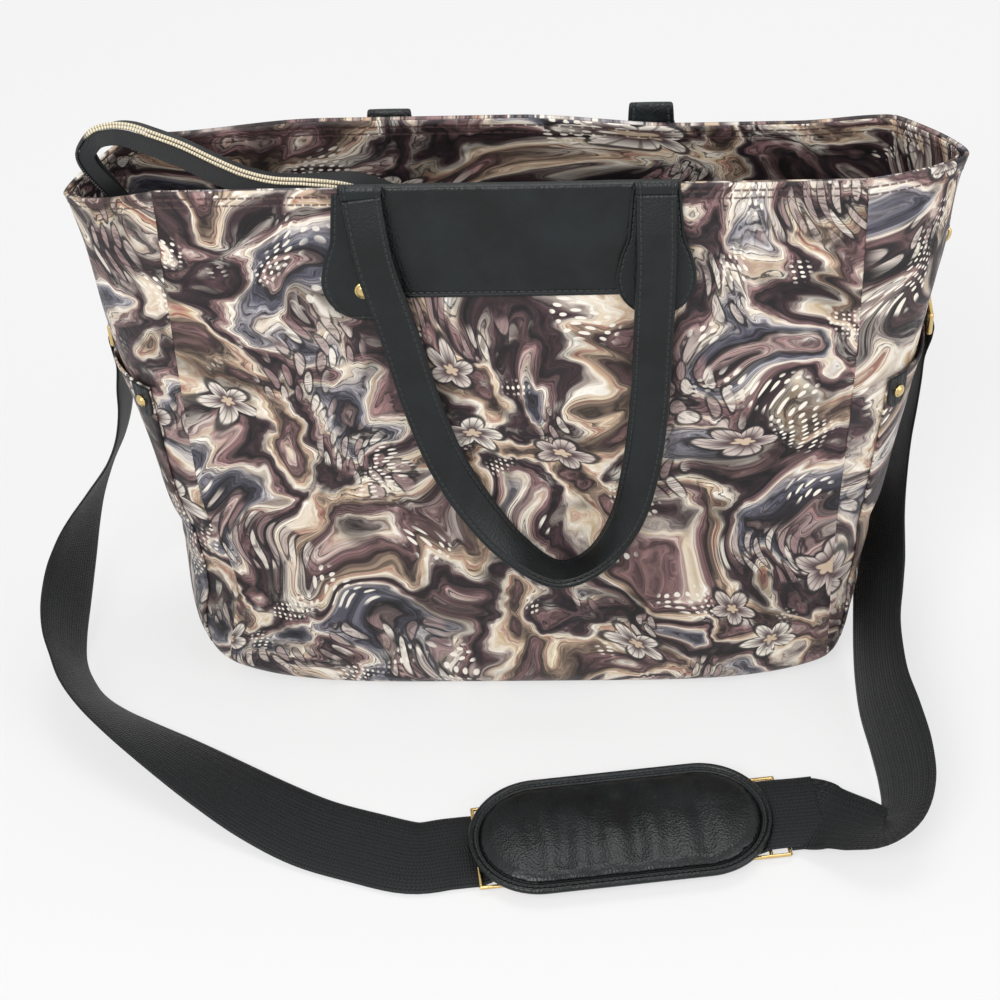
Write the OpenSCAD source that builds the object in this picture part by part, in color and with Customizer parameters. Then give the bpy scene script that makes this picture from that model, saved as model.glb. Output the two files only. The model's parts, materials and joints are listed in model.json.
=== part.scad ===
// Travel tote with a zip mouth, two carry handles and a padded shoulder strap.
// Millimetres, +Z up. The front faces -Y and the base stands on z = 0.

/* [Body] */
// width between the side seams at the base
base_w = 356; // [330:2:390]
// depth at the base
base_d = 142; // [120:2:164]
// height of the rim
body_h = 330; // [310:2:370]
// width of the front panel at the rim
front_w = 370; // [350:2:400]
// width of the back panel at the rim
back_w = 404; // [380:2:424]
// how far the front rim stands before the middle
mouth_front = 25; // [22:1:34]
// how far the back rim stands behind the middle
mouth_back = 30; // [24:1:38]
// how far the side folds stand out past the front rim corners
fold_out = 46; // [40:1:54]
// cloth thickness of the outer panels
wall = 2; // [1.6:0.1:2.4]
// radius of the bottom edge
edge_r = 14; // [11:1:17]
// depth of the printed facing below the rim
facing_h = 60; // [48:2:72]
// thickness of the stiff base board
board_t = 3; // [2:0.5:3]

/* [Leather] */
// half width of the leather patch on each broad face
patch_half = 88; // [82:1:96]
// depth of the leather patch below the rim
patch_h = 59; // [54:1:70]
// distance between the two roots of a handle
handle_span = 151; // [140:1:160]
// width of the handle strap
handle_w = 21; // [17:1:24]
// thickness of the handle strap
handle_t = 4; // [3:0.2:4.4]
// radius of the round end of a handle tab
tab_r = 21; // [17:1:22]
// radius of the gold rivet heads
rivet_r = 4.5; // [3.5:0.1:5]

/* [Side pockets] */
// depth of the pocket opening below the rim
pocket_top = 120; // [104:2:140]
// thickness of the pocket cloth
pocket_t = 1.2; // [1:0.1:1.4]

/* [Rings and hooks] */
// depth of the ring bar below the rim
ring_drop = 68; // [62:1:76]
// radius of the D-ring bow
ring_r = 12; // [11:0.5:13]
// wire radius of the D-ring
ring_wire = 1.5; // [1.2:0.1:1.6]
// rod radius of the hook bow
hook_rod = 1.7; // [1.5:0.05:1.8]
// wire radius of the strap eye
eye_wire = 1.75; // [1.4:0.05:1.9]

/* [Shoulder strap] */
// width of the webbing
web_w = 50; // [44:1:51]
// thickness of the webbing
web_t = 1.4; // [1:0.1:1.5]
// length of the shoulder pad
pad_l = 170; // [160:2:190]
// width of the shoulder pad
pad_w = 80; // [72:1:88]
// thickness of the padding above the pad base
pad_rise = 6.6; // [4:0.2:9]

/* [Zip] */
// width of each zip tape beside the coil
tape_w = 9; // [7:0.5:10]
// length of the zip pull
pull_l = 20; // [16:1:24]

/* [Hidden] */
$fn = 32;
gap = 0.3;
belly = 4;
bulge = 5;
side_belly = 12;
drop_left = 10;
drop_right = 4;
panel_cols = 12;
side_cols = 10;
arc_steps = 6;
wall_rows = 11;
facing_t = 0.8;
lining_t = 0.6;
patch_t = 1.2;
tab_t = 2;
rivet_h = 2.4;
liner_in = wall + gap;
board_z = wall + gap;
floor_z = board_z + board_t + gap;

cloth = [0.45, 0.33, 0.34];
cloth_side = [0.36, 0.28, 0.30];
inside = [0.20, 0.18, 0.19];
leather = [0.07, 0.08, 0.09];
gold = [0.80, 0.66, 0.36];
webbing = [0.10, 0.10, 0.11];
coil = [0.88, 0.84, 0.74];

function lerp(a, b, t) = a + (b - a) * t;
function ease(t) = t * t * (3 - 2 * t);
function clamp(t) = max(0, min(1, t));
// share of the height above the bottom edge
function share(z) = clamp((z - edge_r) / (body_h - edge_r));
function unit(v) = v / norm(v);
function aim(az, el) = [cos(az) * cos(el), sin(az) * cos(el), sin(el)];

// outline of the body at height share t, moved in by w
function front_half(t, w = 0) = lerp(base_w, front_w, ease(t)) / 2 - w;
function back_half(t, w = 0) = lerp(base_w, back_w, ease(t)) / 2 - w;
function front_d(t, w = 0) = lerp(base_d / 2, mouth_front, t) + belly * sin(180 * t) - w;
function back_d(t, w = 0) = lerp(base_d / 2, mouth_back, t) + belly * sin(180 * t) - w;
function dome(x, half, t) = bulge * (1 - pow(x / half, 2)) * sin(180 * t);
function front_y(x, t, w = 0) = -front_d(t, w) - dome(x, front_half(t, w), t);
function back_y(x, t, w = 0) = back_d(t, w) + dome(x, back_half(t, w), t);
function fold_half(t) =
    let (low = base_w / 2 + side_belly, high = front_w / 2 + fold_out)
    low + (high - low) * pow(sin(90 * min(1, t)), 1.5);
function ridge(s, t) = 1 - pow(abs(2 * s - 1), lerp(4, 2.4, t));
function drop(side) = side < 0 ? drop_left : drop_right;
function side_pt(side, s, z, w = 0) =
    let (
        t = share(z),
        xf = front_half(t, w),
        xk = back_half(t, w),
        k = ridge(s, t),
        out = fold_half(t) - w * (1 + t) - (xf + xk) / 2
    )
    [
        side * (lerp(xf, xk, s) + out * k),
        lerp(-front_d(t, w), back_d(t, w), s),
        z - drop(side) * k * pow(t, 12)
    ];
function side_normal(side, s, z) =
    let (
        along = side_pt(side, s + 0.02, z) - side_pt(side, s - 0.02, z),
        up = side_pt(side, s, z + 2) - side_pt(side, s, z - 2)
    )
    side * unit(cross(along, up));
function side_off(side, s, z, n) = side_pt(side, s, z) + n * side_normal(side, s, z);
function front_off(x, z, n) = [x, front_y(x, share(z)) - n, z];
function back_off(x, z, n) = [x, back_y(x, share(z)) + n, z];

// height and inset of the grid rows, round the bottom edge and up to the rim
function arc_row(w, a) = [w + (edge_r - w) * (1 - cos(a)), w + (edge_r - w) * (1 - sin(a))];
function rows(w) = concat(
    [for (i = [0 : arc_steps]) arc_row(w, 90 * i / arc_steps)],
    [for (j = [1 : wall_rows]) [lerp(edge_r, body_h, j / wall_rows), w]]
);

function front_row(z, w) = [
    for (i = [0 : panel_cols])
        let (t = share(z), x = lerp(-1, 1, i / panel_cols) * front_half(t, w))
        [x, front_y(x, t, w), z]
];
function back_row(z, w) = [
    for (i = [0 : panel_cols])
        let (t = share(z), x = lerp(1, -1, i / panel_cols) * back_half(t, w))
        [x, back_y(x, t, w), z]
];
function right_row(z, w) = [for (i = [0 : side_cols]) side_pt(1, i / side_cols, z, w)];
function left_row(z, w) = [for (i = [side_cols : -1 : 0]) side_pt(-1, i / side_cols, z, w)];
function but_last(v) = [for (i = [0 : len(v) - 2]) v[i]];
function ring_row(z, w) = concat(
    but_last(front_row(z, w)), but_last(right_row(z, w)),
    but_last(back_row(z, w)), but_last(left_row(z, w))
);

// two triangles for the four corners a, b, c, d
function quad(a, b, c, d) = [[a, b, c], [a, c, d]];
function flat(v) = [for (r = v) for (p = r) p];

// solid between an outer and an inner grid of points
module sheet(out, inn) {
    n = len(out);
    m = len(out[0]);
    o = n * m;
    faces = concat(
        [for (r = [0 : n - 2]) for (c = [0 : m - 2])
            each quad(r * m + c, r * m + m + c, r * m + m + c + 1, r * m + c + 1)],
        [for (r = [0 : n - 2]) for (c = [0 : m - 2])
            each quad(o + r * m + c, o + r * m + c + 1, o + r * m + m + c + 1, o + r * m + m + c)],
        [for (c = [0 : m - 2]) each quad(c, c + 1, o + c + 1, o + c)],
        [for (c = [0 : m - 2]) let (k = (n - 1) * m + c) each quad(k + 1, k, o + k, o + k + 1)],
        [for (r = [0 : n - 2]) let (k = r * m) each quad(k + m, k, o + k, o + k + m)],
        [for (r = [0 : n - 2]) let (k = r * m + m - 1) each quad(k, k + m, o + k + m, o + k)]
    );
    polyhedron(concat(flat(out), flat(inn)), faces, convexity = 8);
}

// closed band between two stacks of rings, with a flat floor when floored
module band(out, inn, floored) {
    n = len(out);
    m = len(out[0]);
    o = n * m;
    loop = [for (c = [0 : m - 1]) c];
    faces = concat(
        [for (r = [0 : n - 2]) for (c = loop) let (d = (c + 1) % m)
            each quad(r * m + c, r * m + m + c, r * m + m + d, r * m + d)],
        [for (r = [0 : n - 2]) for (c = loop) let (d = (c + 1) % m)
            each quad(o + r * m + c, o + r * m + d, o + r * m + m + d, o + r * m + m + c)],
        [for (c = loop) let (d = (c + 1) % m, k = (n - 1) * m)
            each quad(k + d, k + c, o + k + c, o + k + d)],
        floored ? [loop, [for (c = [m - 1 : -1 : 0]) o + c]]
            : [for (c = loop) let (d = (c + 1) % m) each quad(c, d, o + d, o + c)]
    );
    polyhedron(concat(flat(out), flat(inn)), faces, convexity = 8);
}

// solid through a stack of rings, closed at both ends
module loft(rings) {
    n = len(rings);
    m = len(rings[0]);
    faces = concat(
        [for (r = [0 : n - 2]) for (c = [0 : m - 1]) let (d = (c + 1) % m, a = r * m, b = a + m)
            each c * 2 < m ? quad(a + c, b + c, b + d, a + d) : quad(b + c, b + d, a + d, a + c)],
        [[for (c = [0 : m - 1]) c]],
        [[for (c = [m - 1 : -1 : 0]) (n - 1) * m + c]]
    );
    polyhedron(flat(rings), faces, convexity = 8);
}

// smooth line through route points [x, y, z, width heading, width slope]
function spread(p) = concat([p[0], p[1], p[2]], aim(p[3], p[4]));
function pull_on(a, b, c, d, t) =
    0.5 * (2 * b + (c - a) * t + (2 * a - 5 * b + 4 * c - d) * t * t
        + (3 * b - a - 3 * c + d) * t * t * t);
function smooth(route, steps) =
    let (q = [for (p = route) spread(p)], last = len(q) - 1)
    concat(
        [for (i = [0 : last - 1]) for (k = [0 : steps - 1])
            pull_on(q[max(0, i - 1)], q[i], q[i + 1], q[min(last, i + 2)], k / steps)],
        [q[last]]
    );
function place(q) = [q[0], q[1], q[2]];
function across(q) = [q[3], q[4], q[5]];
function station(line, i, profile) =
    let (
        last = len(line) - 1,
        t = unit(place(line[min(last, i + 1)]) - place(line[max(0, i - 1)])),
        w = unit(across(line[i]) - t * (across(line[i]) * t)),
        n = cross(t, w)
    )
    [for (p = profile) place(line[i]) + w * p[0] + n * p[1]];
module sweep(route, profile, steps) {
    line = smooth(route, steps);
    loft([for (i = [0 : len(line) - 1]) station(line, i, profile)]);
}
function oblong(w0, w1, n0, n1) = [[w0, n0], [w1, n0], [w1, n1], [w0, n1]];

// outer shell
module base_panel() {
    color(cloth)
        linear_extrude(wall)
            polygon([for (p = ring_row(0, edge_r)) [p[0], p[1]]]);
}
module front_panel() {
    color(cloth)
        sheet([for (r = rows(0)) front_row(r[0], r[1])], [for (r = rows(wall)) front_row(r[0], r[1])]);
}
module back_panel() {
    color(cloth)
        sheet([for (r = rows(0)) back_row(r[0], r[1])], [for (r = rows(wall)) back_row(r[0], r[1])]);
}
module left_gusset() {
    color(cloth_side)
        sheet([for (r = rows(0)) left_row(r[0], r[1])], [for (r = rows(wall)) left_row(r[0], r[1])]);
}
module right_gusset() {
    color(cloth_side)
        sheet([for (r = rows(0)) right_row(r[0], r[1])], [for (r = rows(wall)) right_row(r[0], r[1])]);
}

// inside of the bag
facing_low = body_h - facing_h;
facing_steps = 3;
lining_arc = 45;
lining_steps = 7;
module facing() {
    heights = [for (i = [0 : facing_steps]) lerp(facing_low, body_h, i / facing_steps)];
    color(cloth)
        band([for (z = heights) ring_row(z, liner_in)],
            [for (z = heights) ring_row(z, liner_in + facing_t)], false);
}
function lining_rows(w) = concat(
    [for (i = [0 : 2]) arc_row(w, lerp(lining_arc, 90, i / 2)) + [floor_lift, 0]],
    [for (j = [1 : lining_steps]) [lerp(edge_r + floor_lift, facing_low - gap, j / lining_steps), w]]
);
floor_lift = floor_z - arc_row(liner_in, lining_arc)[0];
module lining() {
    color(inside)
        band([for (r = lining_rows(liner_in)) ring_row(r[0], r[1])],
            [for (r = lining_rows(liner_in + lining_t)) ring_row(r[0], r[1])], true);
}
module base_board() {
    color(inside)
        translate([0, 0, board_z])
            linear_extrude(board_t)
                polygon([for (p = ring_row(0, edge_r + 0.5)) [p[0], p[1]]]);
}

// leather on the broad faces
patch_cols = 8;
patch_low = body_h - patch_h;
patch_top = body_h - 0.5;
patch_zs = [patch_low, lerp(patch_low, patch_top, 0.5), patch_top];
tab_n = gap + patch_t + gap;
tab_low = body_h - 70;
tab_top_half = 12.5;
tab_turns = [15, 40, 65, 90, 112];
rivet_drop = 53;
module front_patch() {
    xs = [for (i = [0 : patch_cols]) lerp(-patch_half, patch_half, i / patch_cols)];
    color(leather)
        sheet([for (z = patch_zs) [for (x = xs) front_off(x, z, gap + patch_t)]],
            [for (z = patch_zs) [for (x = xs) front_off(x, z, gap)]]);
}
module back_patch() {
    xs = [for (i = [0 : patch_cols]) lerp(patch_half, -patch_half, i / patch_cols)];
    color(leather)
        sheet([for (z = patch_zs) [for (x = xs) back_off(x, z, gap + patch_t)]],
            [for (z = patch_zs) [for (x = xs) back_off(x, z, gap)]]);
}
// rows of [height, half width] from the round foot of a tab to the rim
tab_rows = concat(
    [for (a = tab_turns) [tab_low + tab_r * (1 - cos(a)), tab_r * sin(a)]],
    [[body_h - 24, tab_top_half + 2], [patch_top, tab_top_half]]
);
module front_tab(mid) {
    shares = [-1, -0.5, 0, 0.5, 1];
    color(leather)
        sheet([for (r = tab_rows) [for (k = shares) front_off(mid + k * r[1], r[0], tab_n + tab_t)]],
            [for (r = tab_rows) [for (k = shares) front_off(mid + k * r[1], r[0], tab_n)]]);
}
module back_tab(mid) {
    shares = [1, 0.5, 0, -0.5, -1];
    color(leather)
        sheet([for (r = tab_rows) [for (k = shares) back_off(mid + k * r[1], r[0], tab_n + tab_t)]],
            [for (r = tab_rows) [for (k = shares) back_off(mid + k * r[1], r[0], tab_n)]]);
}
back_shift = 5;
back_span_cut = 13;
back_half_span = (handle_span - back_span_cut) / 2;
module front_left_tab() { front_tab(-handle_span / 2); }
module front_right_tab() { front_tab(handle_span / 2); }
module back_left_tab() { back_tab(back_shift - back_half_span); }
module back_right_tab() { back_tab(back_shift + back_half_span); }

// domed rivet head standing on the origin along +Z
module rivet() {
    ball = (rivet_r * rivet_r + rivet_h * rivet_h) / (2 * rivet_h);
    color(gold)
        intersection() {
            translate([0, 0, rivet_h - ball])
                sphere(r = ball);
            cylinder(r = rivet_r, h = rivet_h + 1);
        }
}
module stand(p, n) {
    translate(p)
        rotate([0, acos(n[2]), atan2(n[1], n[0])])
            children();
}
rivet_n = tab_n + tab_t + gap;
rivet_z = body_h - rivet_drop;
function front_normal(x, z) = unit([0, -4, front_off(x, z + 2, 0)[1] - front_off(x, z - 2, 0)[1]]);
function back_normal(x, z) = unit([0, 4, back_off(x, z - 2, 0)[1] - back_off(x, z + 2, 0)[1]]);
module front_rivets() {
    for (side = [-1, 1])
        let (x = side * (handle_span / 2 + 2))
            stand(front_off(x, rivet_z, rivet_n), front_normal(x, rivet_z))
                rivet();
}
module back_rivets() {
    for (side = [-1, 1])
        let (x = back_shift + side * (back_half_span + 2))
            stand(back_off(x, rivet_z, rivet_n), back_normal(x, rivet_z))
                rivet();
}

// side pockets with a riveted tab at each end of the opening
pocket_z = body_h - pocket_top;
pocket_gap = 0.5;
pocket_tab_s = 0.145;
pocket_tab_ds = 0.045;
pocket_tab_h = 19;
pocket_tab_n = pocket_gap + pocket_t + gap;
pocket_tab_t = 1.5;
pocket_zs = concat([for (r = rows(0)) if (r[0] >= edge_r && r[0] < pocket_z - 8) r[0]], [pocket_z]);
pocket_ss = [for (i = [1 : side_cols - 1]) i / side_cols];
function turned(v, side) = side > 0 ? v : [for (i = [len(v) - 1 : -1 : 0]) v[i]];
module side_skin(side, ss, zs, n0, n1) {
    sheet([for (z = zs) [for (s = turned(ss, side)) side_off(side, s, z, n1)]],
        [for (z = zs) [for (s = turned(ss, side)) side_off(side, s, z, n0)]]);
}
module side_pocket(side) {
    color(cloth_side)
        side_skin(side, pocket_ss, pocket_zs, pocket_gap, pocket_gap + pocket_t);
}
module left_side_pocket() { side_pocket(-1); }
module right_side_pocket() { side_pocket(1); }
module pocket_tabs(side) {
    top = pocket_z - 1;
    for (mid = [pocket_tab_s, 1 - pocket_tab_s])
        color(leather)
            side_skin(side, [mid - pocket_tab_ds, mid, mid + pocket_tab_ds],
                [top - pocket_tab_h, top - pocket_tab_h / 2, top],
                pocket_tab_n, pocket_tab_n + pocket_tab_t);
}
module left_pocket_tabs() { pocket_tabs(-1); }
module right_pocket_tabs() { pocket_tabs(1); }
module pocket_rivets() {
    z = pocket_z - pocket_tab_h / 2 - 1;
    for (side = [-1, 1])
        for (s = [pocket_tab_s, 1 - pocket_tab_s])
            stand(side_off(side, s, z, pocket_tab_n + pocket_tab_t + gap), side_normal(side, s, z))
                scale(0.8)
                    rivet();
}

// rings on the back half of the side folds
ring_tab_w = 19;
ring_tab_t = 2.2;
ring_tab_h = 38;
ring_tab_gap = 1;
ring_hole = ring_wire + gap;
ring_loop = ring_hole + 1.8;
hang_s = 0.82;
bow_r = 4.8;
hang_off = bow_r + hook_rod + 0.6;
bar_z = body_h - ring_drop;
hang_n = side_normal(1, hang_s, bar_z);
hang_turn = atan2(hang_n[1], hang_n[0]);
bar_x = side_pt(1, hang_s, bar_z)[0] + hang_off * cos(hang_turn);
bar_y = side_pt(1, hang_s, bar_z)[1] + hang_off * sin(hang_turn);
module along_y(r, l) {
    rotate([90, 0, 0])
        cylinder(r = r, h = l, center = true);
}
module ring_tab() {
    top = side_pt(1, hang_s, bar_z + ring_tab_h) - [bar_x, bar_y, 0];
    head = top[0] * cos(hang_turn) + top[1] * sin(hang_turn) + ring_tab_gap;
    color(leather)
        difference() {
            union() {
                translate([0, ring_tab_w / 2, 0])
                    rotate([90, 0, 0])
                        linear_extrude(ring_tab_w)
                            polygon([
                                [-ring_loop, 0], [ring_tab_t - ring_loop, 0],
                                [head + ring_tab_t, ring_tab_h], [head, ring_tab_h]
                            ]);
                along_y(ring_loop, ring_tab_w);
            }
            along_y(ring_hole, ring_tab_w + 2);
        }
}
module d_ring() {
    color(gold) {
        along_y(ring_wire, 2 * ring_r);
        rotate([0, 90, 0])
            rotate([0, 0, -90])
                rotate_extrude(angle = 180)
                    translate([ring_r, 0])
                        circle(r = ring_wire);
        for (side = [-1, 1])
            translate([0, side * ring_r, 0])
                sphere(r = ring_wire);
    }
}
// places a piece drawn about the ring bar or the hook on the left or right fold
module hung(side, z, turn) {
    mirror([side < 0 ? 1 : 0, 0, 0])
        translate([bar_x, bar_y, z])
            rotate([0, 0, turn])
                children();
}
module left_ring_tab() { hung(-1, bar_z, hang_turn) ring_tab(); }
module right_ring_tab() { hung(1, bar_z, hang_turn) ring_tab(); }
module left_d_ring() { hung(-1, bar_z, hang_turn) d_ring(); }
module right_d_ring() { hung(1, bar_z, hang_turn) d_ring(); }

// swivel hooks, drawn about the middle of the bow
bow_z = bar_z - ring_r + ring_wire + gap + hook_rod - bow_r;
bow_from = -60;
bow_to = 190;
body_top = -6.6;
body_low = -25;
body_r = 5;
cavity_r = 3.8;
cavity_low = -21.5;
cavity_top = -15;
bore_r = 2.3;
stem_r = 2;
head_r = 3.2;
head_h = 3;
pivot = [-3.6, -9.4];
pivot_r = 0.7;
pivot_len = 6.4;
gate_tip = [-4.7, -2.9];
gate_r = 1.2;
gate_w = 3.2;
slot_w = gate_w + 2 * gap;
module bow_end(a) {
    rotate([0, -a, 0])
        translate([bow_r, 0, 0])
            sphere(r = hook_rod);
}
module hook() {
    root = [bow_r * cos(bow_from), bow_r * sin(bow_from)];
    color(gold) {
        rotate([90, 0, 0])
            rotate([0, 0, bow_from])
                rotate_extrude(angle = bow_to - bow_from)
                    translate([bow_r, 0])
                        circle(r = hook_rod);
        bow_end(bow_from);
        difference() {
            union() {
                translate([0, 0, body_low])
                    cylinder(r = body_r, h = body_top - body_low);
                translate([root[0] - 0.3, 0, body_top - 1])
                    cylinder(r = hook_rod, h = root[1] - body_top + 1);
            }
            translate([0, 0, cavity_low])
                cylinder(r = cavity_r, h = cavity_top - cavity_low);
            translate([0, 0, body_low - 1])
                cylinder(r = bore_r, h = cavity_low - body_low + 2);
            translate([-body_r - 2, -slot_w / 2, pivot[1] - 2.3])
                cube([body_r + 1, slot_w, 8]);
        }
        translate([pivot[0], 0, pivot[1]])
            along_y(pivot_r, pivot_len);
    }
}
module gate() {
    color(gold)
        difference() {
            hull() {
                translate([pivot[0], 0, pivot[1]])
                    along_y(gate_r + 0.6, gate_w);
                translate([gate_tip[0], 0, gate_tip[1]])
                    along_y(gate_r, gate_w);
            }
            translate([pivot[0], 0, pivot[1]])
                along_y(pivot_r + gap, gate_w + 2);
        }
}
eye_half = web_w / 2 + 0.6 + eye_wire;
eye_open = 8;
eye_top = body_low - 5;
eye_low = eye_top - eye_open - 2 * eye_wire;
eye_z = bow_z + eye_low;
module hook_eye() {
    color(gold) {
        translate([0, 0, cavity_low + gap])
            cylinder(r = head_r, h = head_h);
        translate([0, 0, eye_top])
            cylinder(r = stem_r, h = cavity_low + gap - eye_top + 1);
        for (z = [eye_top, eye_low])
            translate([0, 0, z])
                along_y(eye_wire, 2 * eye_half);
        for (side = [-1, 1])
            translate([0, side * eye_half, eye_low]) {
                cylinder(r = eye_wire, h = eye_top - eye_low);
                sphere(r = eye_wire);
                translate([0, 0, eye_top - eye_low])
                    sphere(r = eye_wire);
            }
    }
}
module left_hook() { hung(-1, bow_z, hang_turn) hook(); }
module right_hook() { hung(1, bow_z, hang_turn) hook(); }
module left_gate() { hung(-1, bow_z, hang_turn) gate(); }
module right_gate() { hung(1, bow_z, hang_turn) gate(); }
module left_hook_eye() { hung(-1, bow_z, 0) hook_eye(); }
module right_hook_eye() { hung(1, bow_z, 0) hook_eye(); }

// shoulder strap, lying on edge beside the bag and flat in front of it
pad_x = 54;
pad_y = -181;
pad_turn = 7.5;
strap_top = 207;
low_z = web_t / 2 + 0.1;
loop_r = eye_wire + gap + web_t / 2;
adjust_pitch = 10.5;
adjust_rod = 1.1;
adjust_left = -pad_l / 2 + 15;
adjust_right = pad_l / 2 - 5;
adjust_z = low_z + web_t / 2 + gap + adjust_rod;
over_z = adjust_z + adjust_rod + gap + web_t / 2;
left_run = [
    [-228, 31, 187, 90, 0], [-230, 29, 170, 90, -3], [-231.5, 27, 152, 90, -6], [-235, 24, 132, 88, -10],
    [-242, 20, 114, 86, -14], [-252.5, 15, 97, 83, -19], [-262, 9, 80, 77, -25], [-269, 0, 64, 69, -33],
    [-273.5, -11, 50, 61, -42], [-276, -26, 39, 54, -50], [-276.5, -42, 31.5, 49, -57],
    [-274, -58, 27, 47, -61],
    [-267.5, -73, 24.5, 47, -60], [-258.5, -88, 22, 49, -54], [-244.5, -102, 19.6, 51, -46],
    [-226.5, -115, 16.6, 53, -37], [-201.5, -131, 12.6, 55, -26], [-173, -149, 8, 58, -15],
    [-146, -165, 4.1, 64, -6], [-118, -179, 1.5, 73, -1], [-88, -189, 0.8, 84, 0]
];
right_run = [
    [226, 31, 187, 90, 0], [225, 30, 170, 91, -2], [223, 28, 150, 93, -5], [220, 25, 128, 96, -9],
    [217.5, 20, 104, 100, -15], [215, 13, 82, 106, -22], [212, 3, 62, 118, -32], [209.5, -12, 45, 134, -44],
    [207.5, -31, 34, 146, -53],
    [205.5, -52, 27, 152, -58], [205, -73, 24, 154, -59], [206, -97, 23, 156, -59],
    [210, -123, 22.8, 160, -58], [213, -147, 22, 156, -56], [213, -167, 20.4, 138, -51],
    [208, -182, 18, 118, -43], [199, -188, 14.8, 98, -33], [189, -185, 10.8, 82, -22],
    [178, -178, 7, 74, -12], [166, -172, 4.2, 82, -4]
];
function follow(p, side) =
    let (
        up = pow(clamp(p[2] / strap_top), 2),
        beside = clamp((p[1] + 190) / 90),
        wider = lerp((base_w - 356) / 2, bar_x - 226.8, up)
    )
    [p[0] + side * beside * wider, p[1], p[2] + up * (eye_z - strap_top), p[3], p[4]];
function on_pad(d, z) =
    [pad_x + d * cos(pad_turn), pad_y + d * sin(pad_turn), z, pad_turn + 90, 0];
// webbing folded round the lower bar of the eye, the short leg on the bag side
function eye_loop(side) = [
    for (q = [[-1.7, -15], [-2.2, -7], [-loop_r, 0], [-0.7 * loop_r, 0.7 * loop_r], [0, loop_r],
        [0.7 * loop_r, 0.7 * loop_r], [loop_r, 0], [2.2, -7]])
        [side * (bar_x + q[0]), bar_y, eye_z + q[1], 90, 0]
];
slide_leads = [6, 16, 36];
function before(d) = [for (k = [2, 1]) on_pad(d - adjust_pitch - slide_leads[k], low_z)];
function after(d) = [for (k = slide_leads) on_pad(d + adjust_pitch + k, low_z)];
function through(d) = [
    on_pad(d - adjust_pitch - slide_leads[0], low_z), on_pad(d - adjust_pitch, low_z),
    on_pad(d - adjust_pitch / 2, (low_z + over_z) / 2), on_pad(d, over_z),
    on_pad(d + adjust_pitch / 2, (low_z + over_z) / 2), on_pad(d + adjust_pitch, low_z)
];
right_end = adjust_right + adjust_pitch + adjust_rod + gap;
left_route = concat(
    eye_loop(-1), [for (p = left_run) follow(p, -1)], before(adjust_left),
    through(adjust_left), after(adjust_left),
    [on_pad(0, low_z)], before(adjust_right), but_last(but_last(through(adjust_right)))
);
right_route = concat(
    eye_loop(1), [for (p = right_run) follow(p, 1)],
    [on_pad(right_end + 13, adjust_z), on_pad(right_end + 6, adjust_z), on_pad(right_end, adjust_z)]
);
web_profile = oblong(-web_w / 2, web_w / 2, -web_t / 2, web_t / 2);
module strap_left() {
    color(webbing)
        sweep(left_route, web_profile, 3);
}
module strap_right() {
    color(webbing)
        sweep(right_route, web_profile, 3);
}

// three-bar slides, lying under the ends of the pad
module adjuster(d) {
    rail = web_w / 2 + 1.5 + adjust_rod;
    color(gold)
        translate([pad_x, pad_y, adjust_z])
            rotate([0, 0, pad_turn])
                translate([d, 0, 0]) {
                    for (k = [-1, 0, 1])
                        translate([k * adjust_pitch, 0, 0])
                            along_y(adjust_rod, 2 * rail);
                    for (side = [-1, 1])
                        translate([0, side * rail, 0]) {
                            rotate([0, 90, 0])
                                cylinder(r = adjust_rod, h = 2 * adjust_pitch, center = true);
                            for (k = [-1, 1])
                                translate([k * adjust_pitch, 0, 0])
                                    sphere(r = adjust_rod);
                        }
                }
}
module left_adjuster() { adjuster(adjust_left); }
module right_adjuster() { adjuster(adjust_right); }

// shoulder pad
pad_z = over_z + web_t / 2 + gap;
pad_base_t = 1.6;
piping_r = 1.9;
piping_line = pad_w / 2 - piping_r;
cover_r = piping_line - piping_r - gap;
pad_straight = (pad_l - pad_w) / 2;
pad_turn_steps = 10;
function stadium(r, z) = concat(
    [for (i = [0 : pad_turn_steps]) let (a = -90 + 180 * i / pad_turn_steps)
        [pad_straight + r * cos(a), r * sin(a), z]],
    [for (i = [0 : pad_turn_steps]) let (a = 90 + 180 * i / pad_turn_steps)
        [-pad_straight + r * cos(a), r * sin(a), z]]
);
module at_pad(z) {
    translate([pad_x, pad_y, z])
        rotate([0, 0, pad_turn])
            children();
}
module pad_base() {
    color(webbing)
        at_pad(pad_z)
            loft([stadium(cover_r, 0), stadium(cover_r, pad_base_t)]);
}
module pad_piping() {
    color(leather)
        at_pad(pad_z + piping_r) {
            for (side = [-1, 1]) {
                translate([side * pad_straight, 0, 0])
                    rotate([0, 0, -90 * side])
                        rotate_extrude(angle = 180, $fn = 48)
                            translate([piping_line, 0])
                                circle(r = piping_r, $fn = 16);
                translate([0, side * piping_line, 0])
                    rotate([0, 90, 0])
                        cylinder(r = piping_r, h = 2 * pad_straight, center = true, $fn = 16);
            }
        }
}
// rows of [how far in, share of the rise] over the padded top
pad_dome = [[0, 0], [0, 0.3], [1.5, 0.55], [5, 0.78], [12, 0.94], [21, 1]];
module pad_cover() {
    color(leather)
        at_pad(pad_z + pad_base_t)
            loft([for (r = pad_dome) stadium(cover_r - r[0], r[1] * pad_rise)]);
}

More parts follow.
